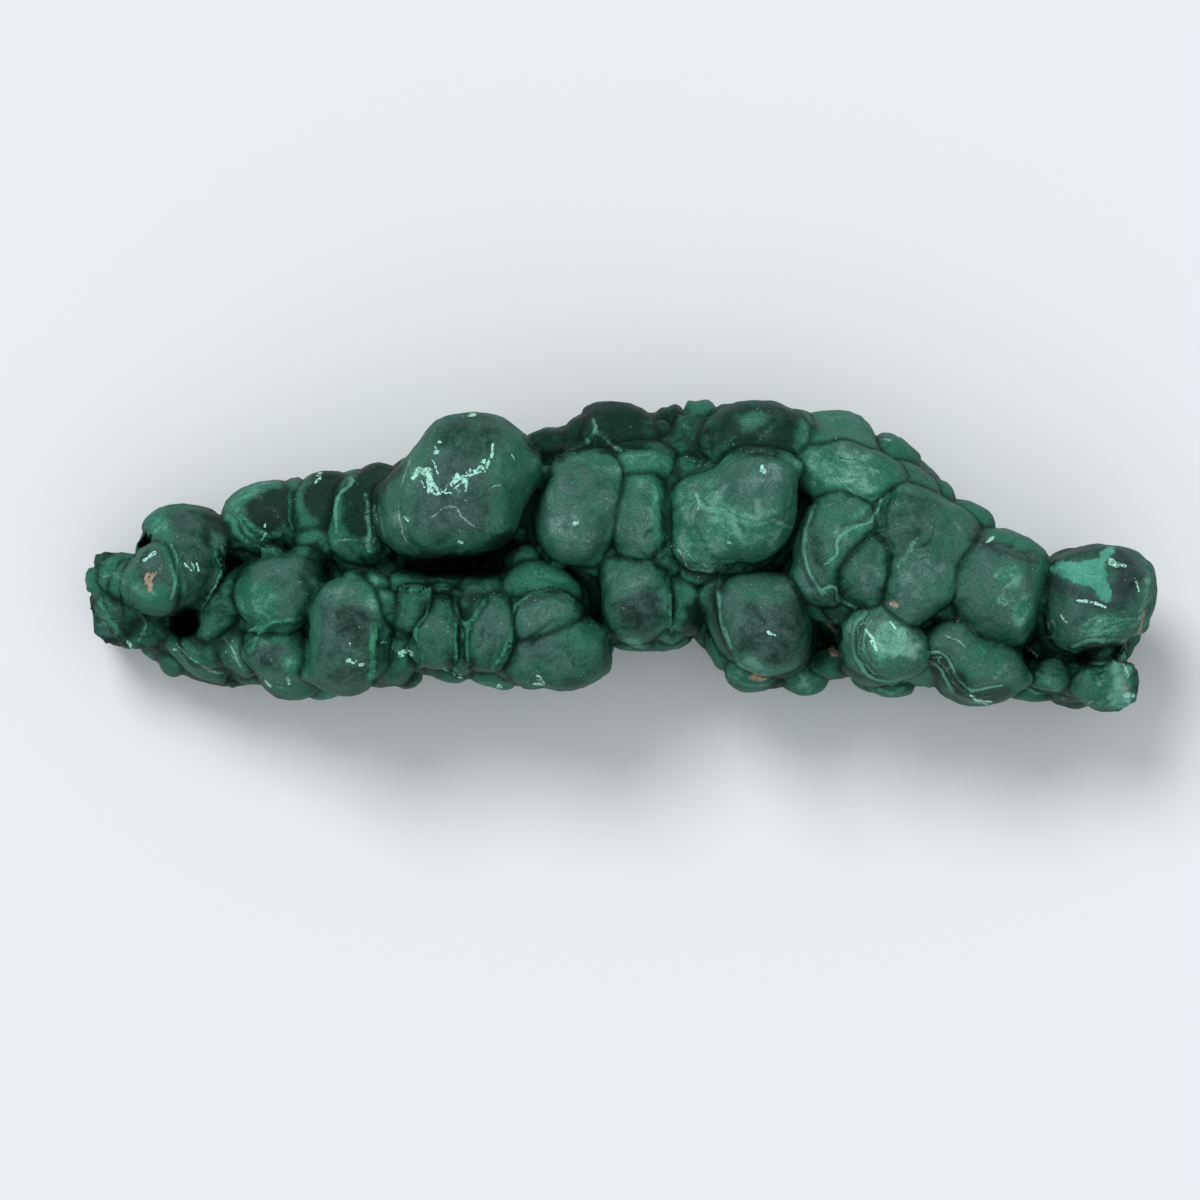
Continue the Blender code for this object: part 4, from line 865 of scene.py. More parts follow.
def outline_stations(step):
    """(point, inward direction, heading in degrees) at equal steps along the outline."""
    corners = [Vector(p) for p in OUTLINE]
    stations = []
    left_over = 0.0
    for start, end in zip(corners, corners[1:] + corners[:1]):
        side = end - start
        along = side.normalized()
        inward = Vector((-along.y, along.x))
        heading = math.degrees(math.atan2(along.y, along.x))
        distance = left_over
        while distance < side.length:
            stations.append((start + along * distance, inward, heading))
            distance += step
        left_over = distance - side.length
    return stations


def way_back(point):
    """From a point in plan outside the outline to the nearest point on it, or nothing inside it."""
    inside = False
    back = Vector((math.inf, 0.0))
    for start, end in zip(OUTLINE, OUTLINE[1:] + OUTLINE[:1]):
        start, side = Vector(start), Vector(end) - Vector(start)
        share = (point - start).dot(side) / side.length_squared
        offset = start + side * min(max(share, 0.0), 1.0) - point
        back = min(back, offset, key=lambda step: step.length)
        if (start.y > point.y) != (start.y + side.y > point.y):
            inside ^= point.x < start.x + side.x * (point.y - start.y) / side.y
    return Vector((0.0, 0.0)) if inside else back


def drawn_in(lump):
    """The lump, moved until it is within the outline."""
    turn = math.radians(lump.turn)
    for _ in range(4):
        farthest = Vector((0.0, 0.0))
        for step in range(12):
            angle = math.tau * step / 12
            along, across = lump.a * math.cos(angle), lump.b * math.sin(angle)
            x = lump.x + along * math.cos(turn) - across * math.sin(turn)
            y = lump.y + along * math.sin(turn) + across * math.cos(turn)
            back = way_back(Vector((x, y)))
            farthest = max(farthest, back, key=lambda step: step.length)
        lump = lump._replace(x=lump.x + farthest.x, y=lump.y + farthest.y)
    return lump


def skirt_lumps():
    """The lumps on the stone's sides, in rings that are staggered and a little uneven."""
    chance = random.Random(SKIRT_SEED)
    lumps = []
    for share, size, inset in SKIRT_RINGS:
        for point, inward, heading in outline_stations(SKIRT_STEP * chance.uniform(0.9, 1.1)):
            rim = rim_height(point.x)
            half = size * math.sqrt(rim / RIM_HIGH) * chance.uniform(0.8, 1.15)
            length = half * chance.uniform(0.95, 1.3)
            depth = half * chance.uniform(0.9, 1.3)
            middle = rim * share * chance.uniform(0.85, 1.15)
            centre = point + inward * (half + inset + chance.uniform(-0.3, 0.9))
            if share < 1.0 or point.x > SIDE_TOP_X:
                lump = Lump(centre.x, centre.y, middle + depth, length, half, depth, heading)
                lumps.append(drawn_in(lump))
    return lumps


# ---------------------------------------------------------------- shape


def ball():
    """The corners, 1 across, and the triangles of a ball pushed out to a pillow."""
    mesh = bmesh.new()
    bmesh.ops.create_icosphere(mesh, subdivisions=BALL_DETAIL, radius=1.0)
    corners = np.array([vertex.co for vertex in mesh.verts])
    triangles = np.array([[vertex.index for vertex in face.verts] for face in mesh.faces])
    mesh.free()
    plan = np.sum(np.abs(corners[:, :2]) ** ROUNDNESS, axis=1) ** (1.0 / ROUNDNESS)
    fullness = plan**CROWN_ROUNDNESS + np.abs(corners[:, 2]) ** CROWN_ROUNDNESS
    return corners / (fullness ** (1.0 / CROWN_ROUNDNESS))[:, None], triangles


def pillow_corners(corners, lump):
    """The ball's corners placed as one pillow, flattened where it meets the resting plane."""
    turn = math.radians(lump.turn)
    cos, sin = math.cos(turn), math.sin(turn)
    along, across, up = (corners * (lump.a, lump.b, lump.c)).T
    x = lump.x + cos * along - sin * across
    y = lump.y + sin * along + cos * across
    z = np.maximum(up + lump.top - lump.c, 0.0)
    return np.stack((x, y, z), axis=1) * MM


def evaluated(obj, name):
    """A new mesh with the object's modifiers applied."""
    graph = bpy.context.evaluated_depsgraph_get()
    data = bpy.data.meshes.new_from_object(obj.evaluated_get(graph))
    data.name = name
    return data


def pillow_mesh(lumps):
    """All the pillows, each a closed skin of its own."""
    corners, triangles = ball()
    placed = np.concatenate([pillow_corners(corners, lump) for lump in lumps])
    faces = np.concatenate([triangles + len(corners) * n for n in range(len(lumps))])
    data = bpy.data.meshes.new("pillows")
    data.from_pydata(placed.tolist(), [], faces.tolist())
    return data


def evened(data):
    """The mesh as one closed skin of small even quads, with all that overlaps in it fused."""
    obj = bpy.data.objects.new("uneven", data)
    bpy.context.collection.objects.link(obj)
    fuse = obj.modifiers.new("fuse_lumps", "REMESH")
    fuse.mode = "VOXEL"
    fuse.voxel_size = VOXEL * MM
    skin = evaluated(obj, "skin")
    bpy.data.objects.remove(obj, do_unlink=True)
    bpy.data.meshes.remove(data)
    return skin


LATTICE = np.random.default_rng(5).uniform(-1.0, 1.0, (32, 32, 32))


def soft_noise(points, size, shift):
    """Smooth noise from -1 to 1 at each point, with features of about this size in mm."""
    cell = points / size + shift
    low = np.floor(cell).astype(int)
    part = cell - low
    part = part * part * (3.0 - 2.0 * part)
    total = np.zeros(len(points))
    for corner in itertools.product((0, 1), repeat=3):
        at = (low + corner) % 32
        weight = np.prod(np.where(corner, part, 1.0 - part), axis=1)
        total += weight * LATTICE[at[:, 0], at[:, 1], at[:, 2]]
    return total


def pillow_field(points, lump):
    """Distance outside one pillow's skin, roughly, and the unit direction that it grows in."""
    turn = math.radians(lump.turn)
    cos, sin = math.cos(turn), math.sin(turn)
    dx = points[:, 0] - lump.x
    dy = points[:, 1] - lump.y
    local = np.stack(
        (
            (cos * dx + sin * dy) / lump.a,
            (cos * dy - sin * dx) / lump.b,
            (points[:, 2] - (lump.top - lump.c)) / lump.c,
        )
    )
    size = np.abs(local) + 1e-6
    plan = (size[0] ** ROUNDNESS + size[1] ** ROUNDNESS) ** (1.0 / ROUNDNESS)
    fullness = (plan**CROWN_ROUNDNESS + size[2] ** CROWN_ROUNDNESS) ** (1.0 / CROWN_ROUNDNESS)
    slope = np.sign(local) * (size / fullness) ** (CROWN_ROUNDNESS - 1.0)
    around = (plan / fullness) ** (CROWN_ROUNDNESS - 1.0)
    slope[:2] = np.sign(local[:2]) * around * (size[:2] / plan) ** (ROUNDNESS - 1.0)
    slope[0] /= lump.a
    slope[1] /= lump.b
    slope[2] /= lump.c
    grown = np.stack((cos * slope[0] - sin * slope[1], sin * slope[0] + cos * slope[1], slope[2]), 1)
    steep = np.linalg.norm(grown, axis=1) + 1e-9
    return (fullness - 1.0) / steep, grown / steep[:, None]


def blend_least(first, second, softness):
    """The smaller of two distances, rounded where they cross, and the share of the second."""
    share = np.clip(0.5 + 0.5 * (first - second) / softness, 0.0, 1.0)
    return first + (second - first) * share - softness * share * (1.0 - share), share


class Field:
    """For points sorted along X: the distances to the nearest and next growth, and a slope."""

    def __init__(self, points, growths):
        count = len(points)
        self.points = points
        self.freedom = room_to_swell(points)
        self.first = np.full(count, FAR)
        self.second = np.full(count, FAR)
        self.nearest = np.full(count, -1)
        self.next = np.full(count, -1)
        self.slope = np.zeros((count, 3))
        self.slope[:, 2] = 1.0
        self.next_slope = self.slope.copy()
        self.softness = np.array([small_join(growth) for growth in growths])
        for number, growth in enumerate(growths):
            self.add(number, growth)

    def one_lump(self, lump):
        """The points near one lump, and their distance and slope there."""
        wide = max(lump.a, lump.b) + REACH
        start, end = np.searchsorted(self.points[:, 0], (lump.x - wide, lump.x + wide))
        near = self.points[start:end]
        close = np.abs(near[:, 1] - lump.y) < wide
        close &= np.abs(near[:, 2] - (lump.top - lump.c)) < lump.c + REACH
        at = np.nonzero(close)[0] + start
        distance, grown = pillow_field(self.points[at], lump)
        distance -= min(SWELL * 0.5 * (lump.a + lump.b), MOST_SWELL) * self.freedom[at]
        return at, distance, grown

    def add(self, number, growth):
        softness, lumps = growth
        at, distance, grown = self.one_lump(lumps[0])
        if len(lumps) > 1:
            whole = np.full(len(self.points), FAR)
            whole_slope = np.zeros((len(self.points), 3))
            whole[at] = distance
            whole_slope[at] = grown
            for lump in lumps[1:]:
                at, distance, grown = self.one_lump(lump)
                joined, share = blend_least(whole[at], distance, softness)
                share = share[:, None]
                whole[at] = joined
                whole_slope[at] = whole_slope[at] * (1.0 - share) + grown * share
            at = np.nonzero(whole < FAR)[0]
            distance, grown = whole[at], whole_slope[at]
        first, second = self.first[at], self.second[at]
        wins = distance < first
        runs_up = ~wins & (distance < second)
        self.second[at] = np.where(wins, first, np.where(runs_up, distance, second))
        self.next[at[wins]] = self.nearest[at[wins]]
        self.next[at[runs_up]] = number
        self.next_slope[at[wins]] = self.slope[at[wins]]
        self.next_slope[at[runs_up]] = grown[runs_up]
        self.first[at[wins]] = distance[wins]
        self.nearest[at[wins]] = number
        self.slope[at[wins]] = grown[wins]


def small_join(growth):
    """How softly a growth joins the next: small lumps melt in, and large ones keep a groove."""
    size = max(min(lump.a, lump.b) for lump in growth[1])
    return float(np.clip(SMALL_CREASE - (size - 1.5) * 0.5, CREASE, SMALL_CREASE))


def warped(points):
    """The points, pushed about a little so that no lump is a perfect pillow."""
    push = np.zeros_like(points)
    for axis in range(3):
        push[:, axis] += 0.50 * soft_noise(points, 8.0, 3.7 + 5.1 * axis)
        push[:, axis] += 0.22 * soft_noise(points, 3.2, 8.3 + 4.7 * axis)
    return points + push


def sorted_field(points, growths):
    """The field at these points, whatever their order, with its arrays in their order."""
    moved = warped(points)
    order = np.argsort(moved[:, 0])
    field = Field(moved[order], growths)
    back = np.empty(len(order), int)
    back[order] = np.arange(len(order))
    for name in ("first", "second", "nearest", "next", "slope", "next_slope", "freedom"):
        setattr(field, name, getattr(field, name)[back])
    return field


def within(points, zone):
    """1 in the middle of an elliptical zone in plan, falling smoothly to 0 at its edge."""
    turn = math.radians(zone.turn)
    cos, sin = math.cos(turn), math.sin(turn)
    dx = points[:, 0] - zone.x
    dy = points[:, 1] - zone.y
    out = ((cos * dx + sin * dy) / zone.a) ** 2 + ((cos * dy - sin * dx) / zone.b) ** 2
    return np.clip(1.0 - out, 0.0, 1.0) ** 2 * (points[:, 2] > 1.0)


def line_reach(points, line):
    """Distance in plan from a line of points, and the signed distance to its left."""
    least = np.full(len(points), 99.0)
    left = np.full(len(points), 99.0)
    for start, end in zip(line, line[1:]):
        start = np.array(start)
        side = np.array(end) - start
        length = float(np.hypot(*side))
        way = side / length
        near = points[:, :2] - start
        along = near @ way
        across = near @ (-way[1], way[0])
        offset = np.hypot(along - np.clip(along, 0.0, length), across)
        closer = offset < least
        least[closer] = offset[closer]
        left[closer] = across[closer]
    return least, left


def shaken(points):
    """The points, pushed about so that lines drawn on the stone waver."""
    push = [
        0.35 * soft_noise(points, 1.7, 2.9 + 3.3 * n) + 0.3 * soft_noise(points, 4.1, 1.4 + 2.9 * n)
        for n in range(3)
    ]
    return points + np.stack(push, axis=1)


def surface_relief(points):
    """How far the surface stands proud of its lumps: hollows, cracks, ledges and broken grain."""
    moved = shaken(points)
    raised = 0.12 * soft_noise(points, 1.6, 1.9) + 0.05 * soft_noise(points, 0.8, 6.1)
    raised += 0.22 * soft_noise(points, 5.0, 4.2)
    for dome in DOMES:
        raised += dome.height * within(points, dome)
    for zone in BROKEN:
        share = within(points, zone)
        at = np.nonzero(share > 0.0)[0]
        crests = 1.0 - 2.0 * np.abs(soft_noise(points[at], 3.0, 5.7))
        teeth = 1.0 - 2.0 * np.abs(soft_noise(points[at], 1.3, 1.1))
        raised[at] += zone.height * np.sqrt(share[at]) * (0.7 * crests + 0.3 * teeth - 0.3)
    for line in GREEN_LINES:
        offset, _ = line_reach(moved, [(line.x0, line.y0), (line.x1, line.y1)])
        raised += RIDGE_HEIGHT * np.clip(1.2 - offset / (0.9 * line.width), 0.0, 1.0)
    for crack in CRACKS:
        offset, _ = line_reach(moved, crack.line)
        raised -= crack.depth * np.clip(1.0 - offset / crack.width, 0.0, 1.0)
    for ledge in LEDGES:
        offset, left = line_reach(moved, ledge.line)
        beside = np.clip(1.0 - offset / ledge.width, 0.0, 1.0)
        raised -= ledge.depth * beside * np.clip(0.5 - left / 0.4, 0.0, 1.0)
    return raised


def skin_distance(points, growths):
    """Distance outside the finished stone, and its slope, with creases, dents and holes."""
    field = sorted_field(points, growths)
    apart = field.second - field.first
    width = np.maximum(field.softness[field.nearest], field.softness[field.next])
    width = width + FILL * field.freedom
    for zone in MELTED:
        width += zone.height * np.sqrt(within(points, zone)) * field.freedom
    gap = np.clip(1.0 - apart / width, 0.0, 1.0)
    distance = field.first - gap * gap * width * 0.25
    slope = field.slope + (field.next_slope - field.slope) * (0.5 * gap)[:, None]
    slope /= np.linalg.norm(slope, axis=1)[:, None] + 1e-9
    uneven = 0.6 + 0.7 * soft_noise(points, 4.5, 3.1)
    groove = np.clip(1.0 - apart / GROOVE_WIDTH, 0.0, 1.0)
    distance += GROOVE_DEPTH * np.clip(uneven, 0.15, 1.2) * groove
    distance -= surface_relief(points)
    below = resting_relief(points) - points[:, 2]
    under = below > distance
    distance = np.maximum(distance, below)
    slope[under] = (0.0, 0.0, -1.0)
    return distance, slope


def room_map():
    """How freely lumps may swell, 0 to 1, on a 1 mm grid in plan: not at the outline or a gap."""
    across = np.arange(MAP_LOW[0], MAP_HIGH[0] + 1.0)
    up = np.arange(MAP_LOW[1], MAP_HIGH[1] + 1.0)
    grid = np.stack(np.meshgrid(across, up, indexing="ij"), axis=-1)
    least = np.full(grid.shape[:2], 99.0)
    for line in [OUTLINE + OUTLINE[:1], *GAPS]:
        for start, end in zip(line, line[1:]):
            start, side = np.array(start), np.subtract(end, start)
            share = np.clip((grid - start) @ side / (side @ side), 0.0, 1.0)
            offset = grid - start - share[..., None] * side
            least = np.minimum(least, np.linalg.norm(offset, axis=-1))
    return np.clip((least - 0.6) / 2.4, 0.0, 1.0)


ROOM = room_map()


def room_to_swell(points):
    """The room map at each point."""
    cell = points[:, :2] - MAP_LOW
    last = np.subtract(MAP_HIGH, MAP_LOW) - 1
    low = np.clip(np.floor(cell).astype(int), 0, last)
    part = cell - low
    total = np.zeros(len(points))
    for corner in itertools.product((0, 1), repeat=2):
        weight = np.prod(np.where(corner, part, 1.0 - part), axis=1)
        total += weight * ROOM[low[:, 0] + corner[0], low[:, 1] + corner[1]]
    return total


def resting_relief(points):
    """Height of the broken face above the plane that it rests on: shallow hollows, 1 mm at most."""
    rough = 0.9 * soft_noise(points, 11.0, 2.3) + 0.4 * soft_noise(points, 3.5, 7.7)
    return np.clip(rough - 0.15, 0.0, 1.0)


def growths():
    """(softness, lumps) of each growth: the fused ones, then each lump that stands by itself."""
    found = []
    taken = set()
    for crowd, places, softness in FUSED:
        found.append((softness, [LUMPS[crowd][place] for place in places]))
        taken.update((crowd, place) for place in places)
    for crowd, lumps in LUMPS.items():
        for place, lump in enumerate(lumps):
            if (crowd, place) not in taken:
                found.append((1.0, [lump]))
    found.extend((1.0, [lump]) for lump in skirt_lumps())
    found.append((2.0, BEDS + CORE))
    return found


def coordinates(data):
    """The mesh's vertices, in mm."""
    flat = np.empty(len(data.vertices) * 3)
    data.vertices.foreach_get("co", flat)
    return flat.reshape(-1, 3) / MM


def sink_pits(data):
    """Lowers what lies over each pit."""
    points = coordinates(data)
    depth = np.zeros(len(points))
    for pit in PITS:
        mouth = Dome(pit.x, pit.y, PIT_MOUTH * pit.a, PIT_MOUTH * pit.b, pit.turn, 0.0)
        share = np.clip(PIT_STEEPNESS * within(shaken(points), mouth), 0.0, 1.0)
        depth = np.maximum(depth, PIT_DEPTH * share)
    depth = np.minimum(depth, np.maximum(points[:, 2] - PIT_FLOOR, 0.0))
    points[:, 2] -= depth
    data.vertices.foreach_set("co", (points * MM).ravel())
    data.update()


def settle(data, grown, rounds):
    """Moves the mesh's vertices onto the finished skin."""
    points = coordinates(data)
    for _ in range(rounds):
        distance, slope = skin_distance(points, grown)
        points -= slope * np.clip(distance, -SETTLE_STEP, SETTLE_STEP)[:, None]
    data.vertices.foreach_set("co", (points * MM).ravel())
    data.update()


def add_values(data, name, values):
    layer = data.attributes.new(name, "FLOAT", "POINT")
    layer.data.foreach_set("value", values.astype(np.float32))


def washed(points, crown, crease, tone):
    """How light and how green the stone is at each point: its own habit, the washes, then painted shade on
    flanks and in grooves.
    """
    flat = points[:, :2]
    ragged = flat + np.stack(
        [
            0.5 * soft_noise(points, 2.4, 2.2 + n) + 0.3 * soft_noise(points, 1.1, 6.4 + n)
            for n in (0.0, 4.4)
        ],
        axis=1,
    )
    exposed = np.clip(crown, 0.0, 1.0) * np.clip(crease / 2.5, 0.0, 1.0)
    light = -0.12 + 0.2 * exposed + 0.25 * tone + 0.25 * soft_noise(points, 6.0, 9.1)
    green = 0.95 - 0.6 * exposed + 0.2 * soft_noise(points, 4.0, 1.3)
    for wash in WASHES:
        turn = math.radians(wash.turn)
        cos, sin = math.cos(turn), math.sin(turn)
        dx, dy = (ragged - (wash.x, wash.y)).T
        out = np.hypot((cos * dx + sin * dy) / wash.a, (cos * dy - sin * dx) / wash.b)
        edge = min(0.9 / min(wash.a, wash.b), 0.5)
        share = np.clip((1.0 + edge - out) / (2.0 * edge), 0.0, 1.0)
        share = share * share * (3.0 - 2.0 * share) * np.clip(crown * 4.0 + 0.6, 0.0, 1.0)
        light += (wash.light - light) * share
        green += (wash.green - green) * share
    # painted shade: flanks that face away from the light above, and the sides of grooves, are darkened;
    # both are also made greener
    flank = np.clip((0.85 - crown) / 0.6, 0.0, 1.0)
    groove = np.clip(1.0 - crease / 1.6, 0.0, 1.0)
    light -= 0.16 * flank + 0.4 * groove
    green += 0.4 * np.maximum(flank, groove)
    return light, green


def along_and_across(points, marks):
    """Where each point lies along and across its nearest mark, and half that mark's length."""
    moved = shaken(points)[:, :2]
    found = np.zeros((len(points), 3))
    found[:, 0] = OFF_MARK
    nearest = np.full(len(points), np.inf)
    for mark in marks:
        start = np.array([mark.x0, mark.y0])
        end = np.array([mark.x1, mark.y1])
        length = max(float(np.hypot(*(end - start))), 0.1)
        way = (end - start) / length
        from_middle = moved - (start + end) / 2
        along = from_middle @ way
        across = from_middle @ (-way[1], way[0])
        out = np.hypot(np.maximum(np.abs(along) - length / 2, 0.0), across) - mark.width / 2
        mine = (out < nearest) & (out < MARK_REACH)
        nearest[mine] = out[mine]
        half_width = mark.width / 2
        found[mine, 0] = along[mine] / half_width
        found[mine, 1] = across[mine] / half_width
        found[mine, 2] = length / mark.width
    return found


def upper_side(points, crown):
    """1 where the stone faces up above its rim, and 0 down its sides, which have no marks."""
    rim = np.interp(points[:, 0], (RIM_THIN_X, RIM_FULL_X), (RIM_LOW, RIM_HIGH))
    above = np.clip((points[:, 2] - MARKS_FROM * rim) / 1.5, 0.0, 1.0)
    return above * np.clip(crown / 0.25, 0.0, 1.0)


def add_vectors(data, name, values):
    layer = data.attributes.new(name, "FLOAT_VECTOR", "POINT")
    layer.data.foreach_set("vector", values.astype(np.float32).ravel())


def add_growth_values(data, grown):
    """Stores, at each vertex, what the stone's colours follow."""
    points = coordinates(data)
    field = sorted_field(points, grown)
    crease = np.clip(field.second - field.first, 0.0, 6.0)
    normals = np.empty(len(points) * 3)
    data.vertex_normals.foreach_get("vector", normals)
    crown = normals.reshape(-1, 3)[:, 2]
    chance = random.Random(TONE_SEED)
    tones = np.array([chance.uniform(-1.0, 1.0) for _ in grown])
    light, green = washed(points, crown, crease, tones[field.nearest])
    add_values(data, "crease", crease)
    add_values(data, "upper", upper_side(points, crown))
    add_values(data, "light", light)
    add_values(data, "green", green)
    for name, marks in MARKS.items():
        add_vectors(data, name, along_and_across(points, marks))


def build_specimen():
    grown = growths()
    lumps = [lump for _, members in grown for lump in members]
    skin = evened(pillow_mesh(lumps))
    settle(skin, grown, FIRST_ROUNDS)
    # The walls of a groove that filled lie folded on each other until they are fused again.
    skin = evened(skin)
    settle(skin, grown, SECOND_ROUNDS)
    obj = bpy.data.objects.new("specimen", skin)
    bpy.context.collection.objects.link(obj)
    triangles = 2 * len(skin.polygons)
    thin = obj.modifiers.new("thin_faces", "DECIMATE")
    thin.ratio = min(1.0, MOST_TRIANGLES / triangles)
    thinned = evaluated(obj, "specimen")
    obj.modifiers.clear()
    obj.data = thinned
    bpy.data.meshes.remove(skin)
    settle(thinned, grown, LAST_ROUNDS)
    add_growth_values(thinned, grown)
    sink_pits(thinned)
    thinned.shade_smooth()
    return obj


# ---------------------------------------------------------------- materials


def linear(red, green, blue):
    """A screen colour, 0 to 255, as the linear colour that shaders use."""
    shares = [value / 255.0 for value in (red, green, blue)]
    curve = [s / 12.92 if s < 0.04045 else ((s + 0.055) / 1.055) ** 2.4 for s in shares]
    return (*curve, 1.0)


# The cloudy noises that the colours and the grain follow, from broad to fine.
Noises = namedtuple("Noises", "broad cloud wisp grain dust")


class Nodes:
    """Short ways to add shader nodes to one material or node group."""

    def __init__(self, tree):
        self.tree = tree

    def add(self, kind, **settings):
        node = self.tree.nodes.new(kind)
        for name, value in settings.items():
            setattr(node, name, value)
        return node

    def join(self, value, socket):
        if isinstance(value, bpy.types.NodeSocket):
            self.tree.links.new(value, socket)
        else:
            socket.default_value = value

    def math(self, operation, first, second=0.0, clamp=False):
        node = self.add("ShaderNodeMath", operation=operation, use_clamp=clamp)
        self.join(first, node.inputs[0])
        self.join(second, node.inputs[1])
        return node.outputs[0]

    def vector(self, operation, first, second, output=0):
        node = self.add("ShaderNodeVectorMath", operation=operation)
        self.join(first, node.inputs[0])
        self.join(second, node.inputs[1])
        return node.outputs[output]

    def ramp(self, value, low, high, start=0.0, end=1.0):
        """Smooth step of a value, from start at low to end at high."""
        node = self.add("ShaderNodeMapRange", interpolation_type="SMOOTHSTEP")
        self.join(value, node.inputs["Value"])
        node.inputs["From Min"].default_value = low
        node.inputs["From Max"].default_value = high
        node.inputs["To Min"].default_value = start
        node.inputs["To Max"].default_value = end
        return node.outputs["Result"]

    def mix(self, share, first, second, blend="MIX"):
        node = self.add("ShaderNodeMix", data_type="RGBA", blend_type=blend)
        self.join(share, node.inputs["Factor"])
        self.join(first, node.inputs["A"])
        self.join(second, node.inputs["B"])
        return node.outputs["Result"]

    def noise(self, place, size, detail=2.0, roughness=0.5, bend=0.0):
        """Cloudy noise about 0.5, with features of about this size in mm."""
        node = self.add("ShaderNodeTexNoise")
        self.join(place, node.inputs["Vector"])
        node.inputs["Scale"].default_value = 1.0 / size
        node.inputs["Detail"].default_value = detail
        node.inputs["Roughness"].default_value = roughness
        node.inputs["Distortion"].default_value = bend
        return node.outputs["Fac"]

    def value(self, name):
        return self.add("ShaderNodeAttribute", attribute_name=name).outputs["Fac"]


def in_millimetres(nodes):
    """Object coordinates in mm."""
    place = nodes.add("ShaderNodeTexCoord").outputs["Object"]
    scaled = nodes.add("ShaderNodeVectorMath", operation="SCALE")
    nodes.join(place, scaled.inputs[0])
    scaled.inputs["Scale"].default_value = 1.0 / MM
    return scaled.outputs[0]


def marked(nodes, name, shake, soft):
    """1 on the marks of one kind and 0 off them, and the same for the ground just beside them."""
    found = nodes.add("ShaderNodeAttribute")
    found.attribute_name = name
    parts = nodes.add("ShaderNodeSeparateXYZ")
    nodes.join(found.outputs["Vector"], parts.inputs[0])
    along, across, half = parts.outputs
    beyond = nodes.math("SUBTRACT", nodes.math("ABSOLUTE", along), half)
    beyond = nodes.math("MAXIMUM", beyond, 0.0)
    out = nodes.math("MULTIPLY", beyond, beyond)
    out = nodes.math("ADD", out, nodes.math("MULTIPLY", across, across))
    out = nodes.math("ADD", nodes.math("SQRT", out), shake)
    return nodes.ramp(out, 1.0 + soft, 1.0 - soft), nodes.ramp(out, 3.2, 1.4)


def colour_table(nodes, light, green):
    """The stone's colour, from dark to light and from grey to green, and at the darkest the painted black
    shade of gaps and holes.
    """
    sides = []
    for dark, middle, pale in (GREY_STONE, GREEN_STONE):
        low = nodes.mix(nodes.ramp(light, -1.0, 0.0), linear(*dark), linear(*middle))
        sides.append(nodes.mix(nodes.ramp(light, 0.0, 1.0), low, linear(*pale)))
    colour = nodes.mix(nodes.math("MAXIMUM", 0.0, green, clamp=True), sides[0], sides[1])
    # painted shade: below -1.3 the colour runs to the black shade of a deep gap or hole
    return nodes.mix(nodes.ramp(light, -1.3, -2.2), colour, linear(*HOLE_SHADE))


def body_colour(nodes, noise):
    """The stone itself, in cloudy drifts of how light and how green it is."""
    light = nodes.math("ADD", nodes.value("light"), nodes.ramp(noise.cloud, 0.28, 0.72, -0.3, 0.3))
    light = nodes.math("ADD", light, nodes.ramp(noise.wisp, 0.3, 0.7, -0.12, 0.12))
    green = nodes.math("ADD", nodes.value("green"), nodes.ramp(noise.cloud, 0.7, 0.3, -0.3, 0.3))
    green = nodes.math("ADD", green, nodes.ramp(noise.broad, 0.3, 0.7, -0.15, 0.15))
    return colour_table(nodes, light, green)


def marked_colour(nodes, place, noise, colour):
    """The colour with the marks laid on it, on what faces up, and where the chips and the painted
    highlight line are.
    """
    upper = nodes.value("upper")
    shake = nodes.ramp(nodes.noise(place, 1.3, 4.0, 0.7), 0.3, 0.7, -0.45, 0.45)
    flaky = nodes.ramp(nodes.noise(place, 0.55, 3.0, 0.7), 0.38, 0.5)
    patchy = nodes.ramp(noise.cloud, 0.36, 0.56, 0.25, 1.0)
    fibrous = nodes.math("MULTIPLY", nodes.ramp(noise.wisp, 0.35, 0.6, 0.2, 1.0), patchy)
    fine = nodes.math("MULTIPLY", nodes.ramp(noise.dust, 0.35, 0.55), patchy)

    pigments = {name: linear(*pigment) for name, pigment in PIGMENTS.items()}
    dark, pale = (linear(*pigment) for pigment in BRIGHT_PIGMENTS)
    pigments["bright_patch"] = nodes.mix(nodes.ramp(noise.cloud, 0.3, 0.7), dark, pale)

    def lay(colour, name, broken, strength, soft):
        mask, _ = marked(nodes, name, shake, soft)
        mask = nodes.math("MULTIPLY", mask, upper)
        mask = nodes.math("MULTIPLY", mask, broken)
        return nodes.mix(nodes.math("MULTIPLY", mask, strength), colour, pigments[name]), mask

    colour, _ = lay(colour, "smoky_line", patchy, 0.75, 0.7)
    colour, _ = lay(colour, "pale_streak", fibrous, 0.7, 0.8)
    # painted shade along both sides of each raised seam and shell edge
    for name in ("green_line", "shell_and_highlight_line"):
        _, beside = marked(nodes, name, shake, 0.2)
        beside = nodes.math("MULTIPLY", nodes.math("MULTIPLY", beside, upper), 0.3)
        colour = nodes.mix(beside, colour, linear(*SEAM_SHADE))
    colour, _ = lay(colour, "green_line", patchy, 0.75, 0.6)
    colour, _ = lay(colour, "shell_and_highlight_line", patchy, 0.75, 0.6)
    colour, _ = lay(colour, "bright_patch", 1.0, 0.9, 0.3)
    colour, _ = lay(colour, "hairline", fine, 0.75, 0.4)
    colour, _ = lay(colour, "tan_spot", flaky, 0.9, 0.2)
    return lay(colour, "chip_and_highlight", flaky, 1.0, 0.2)


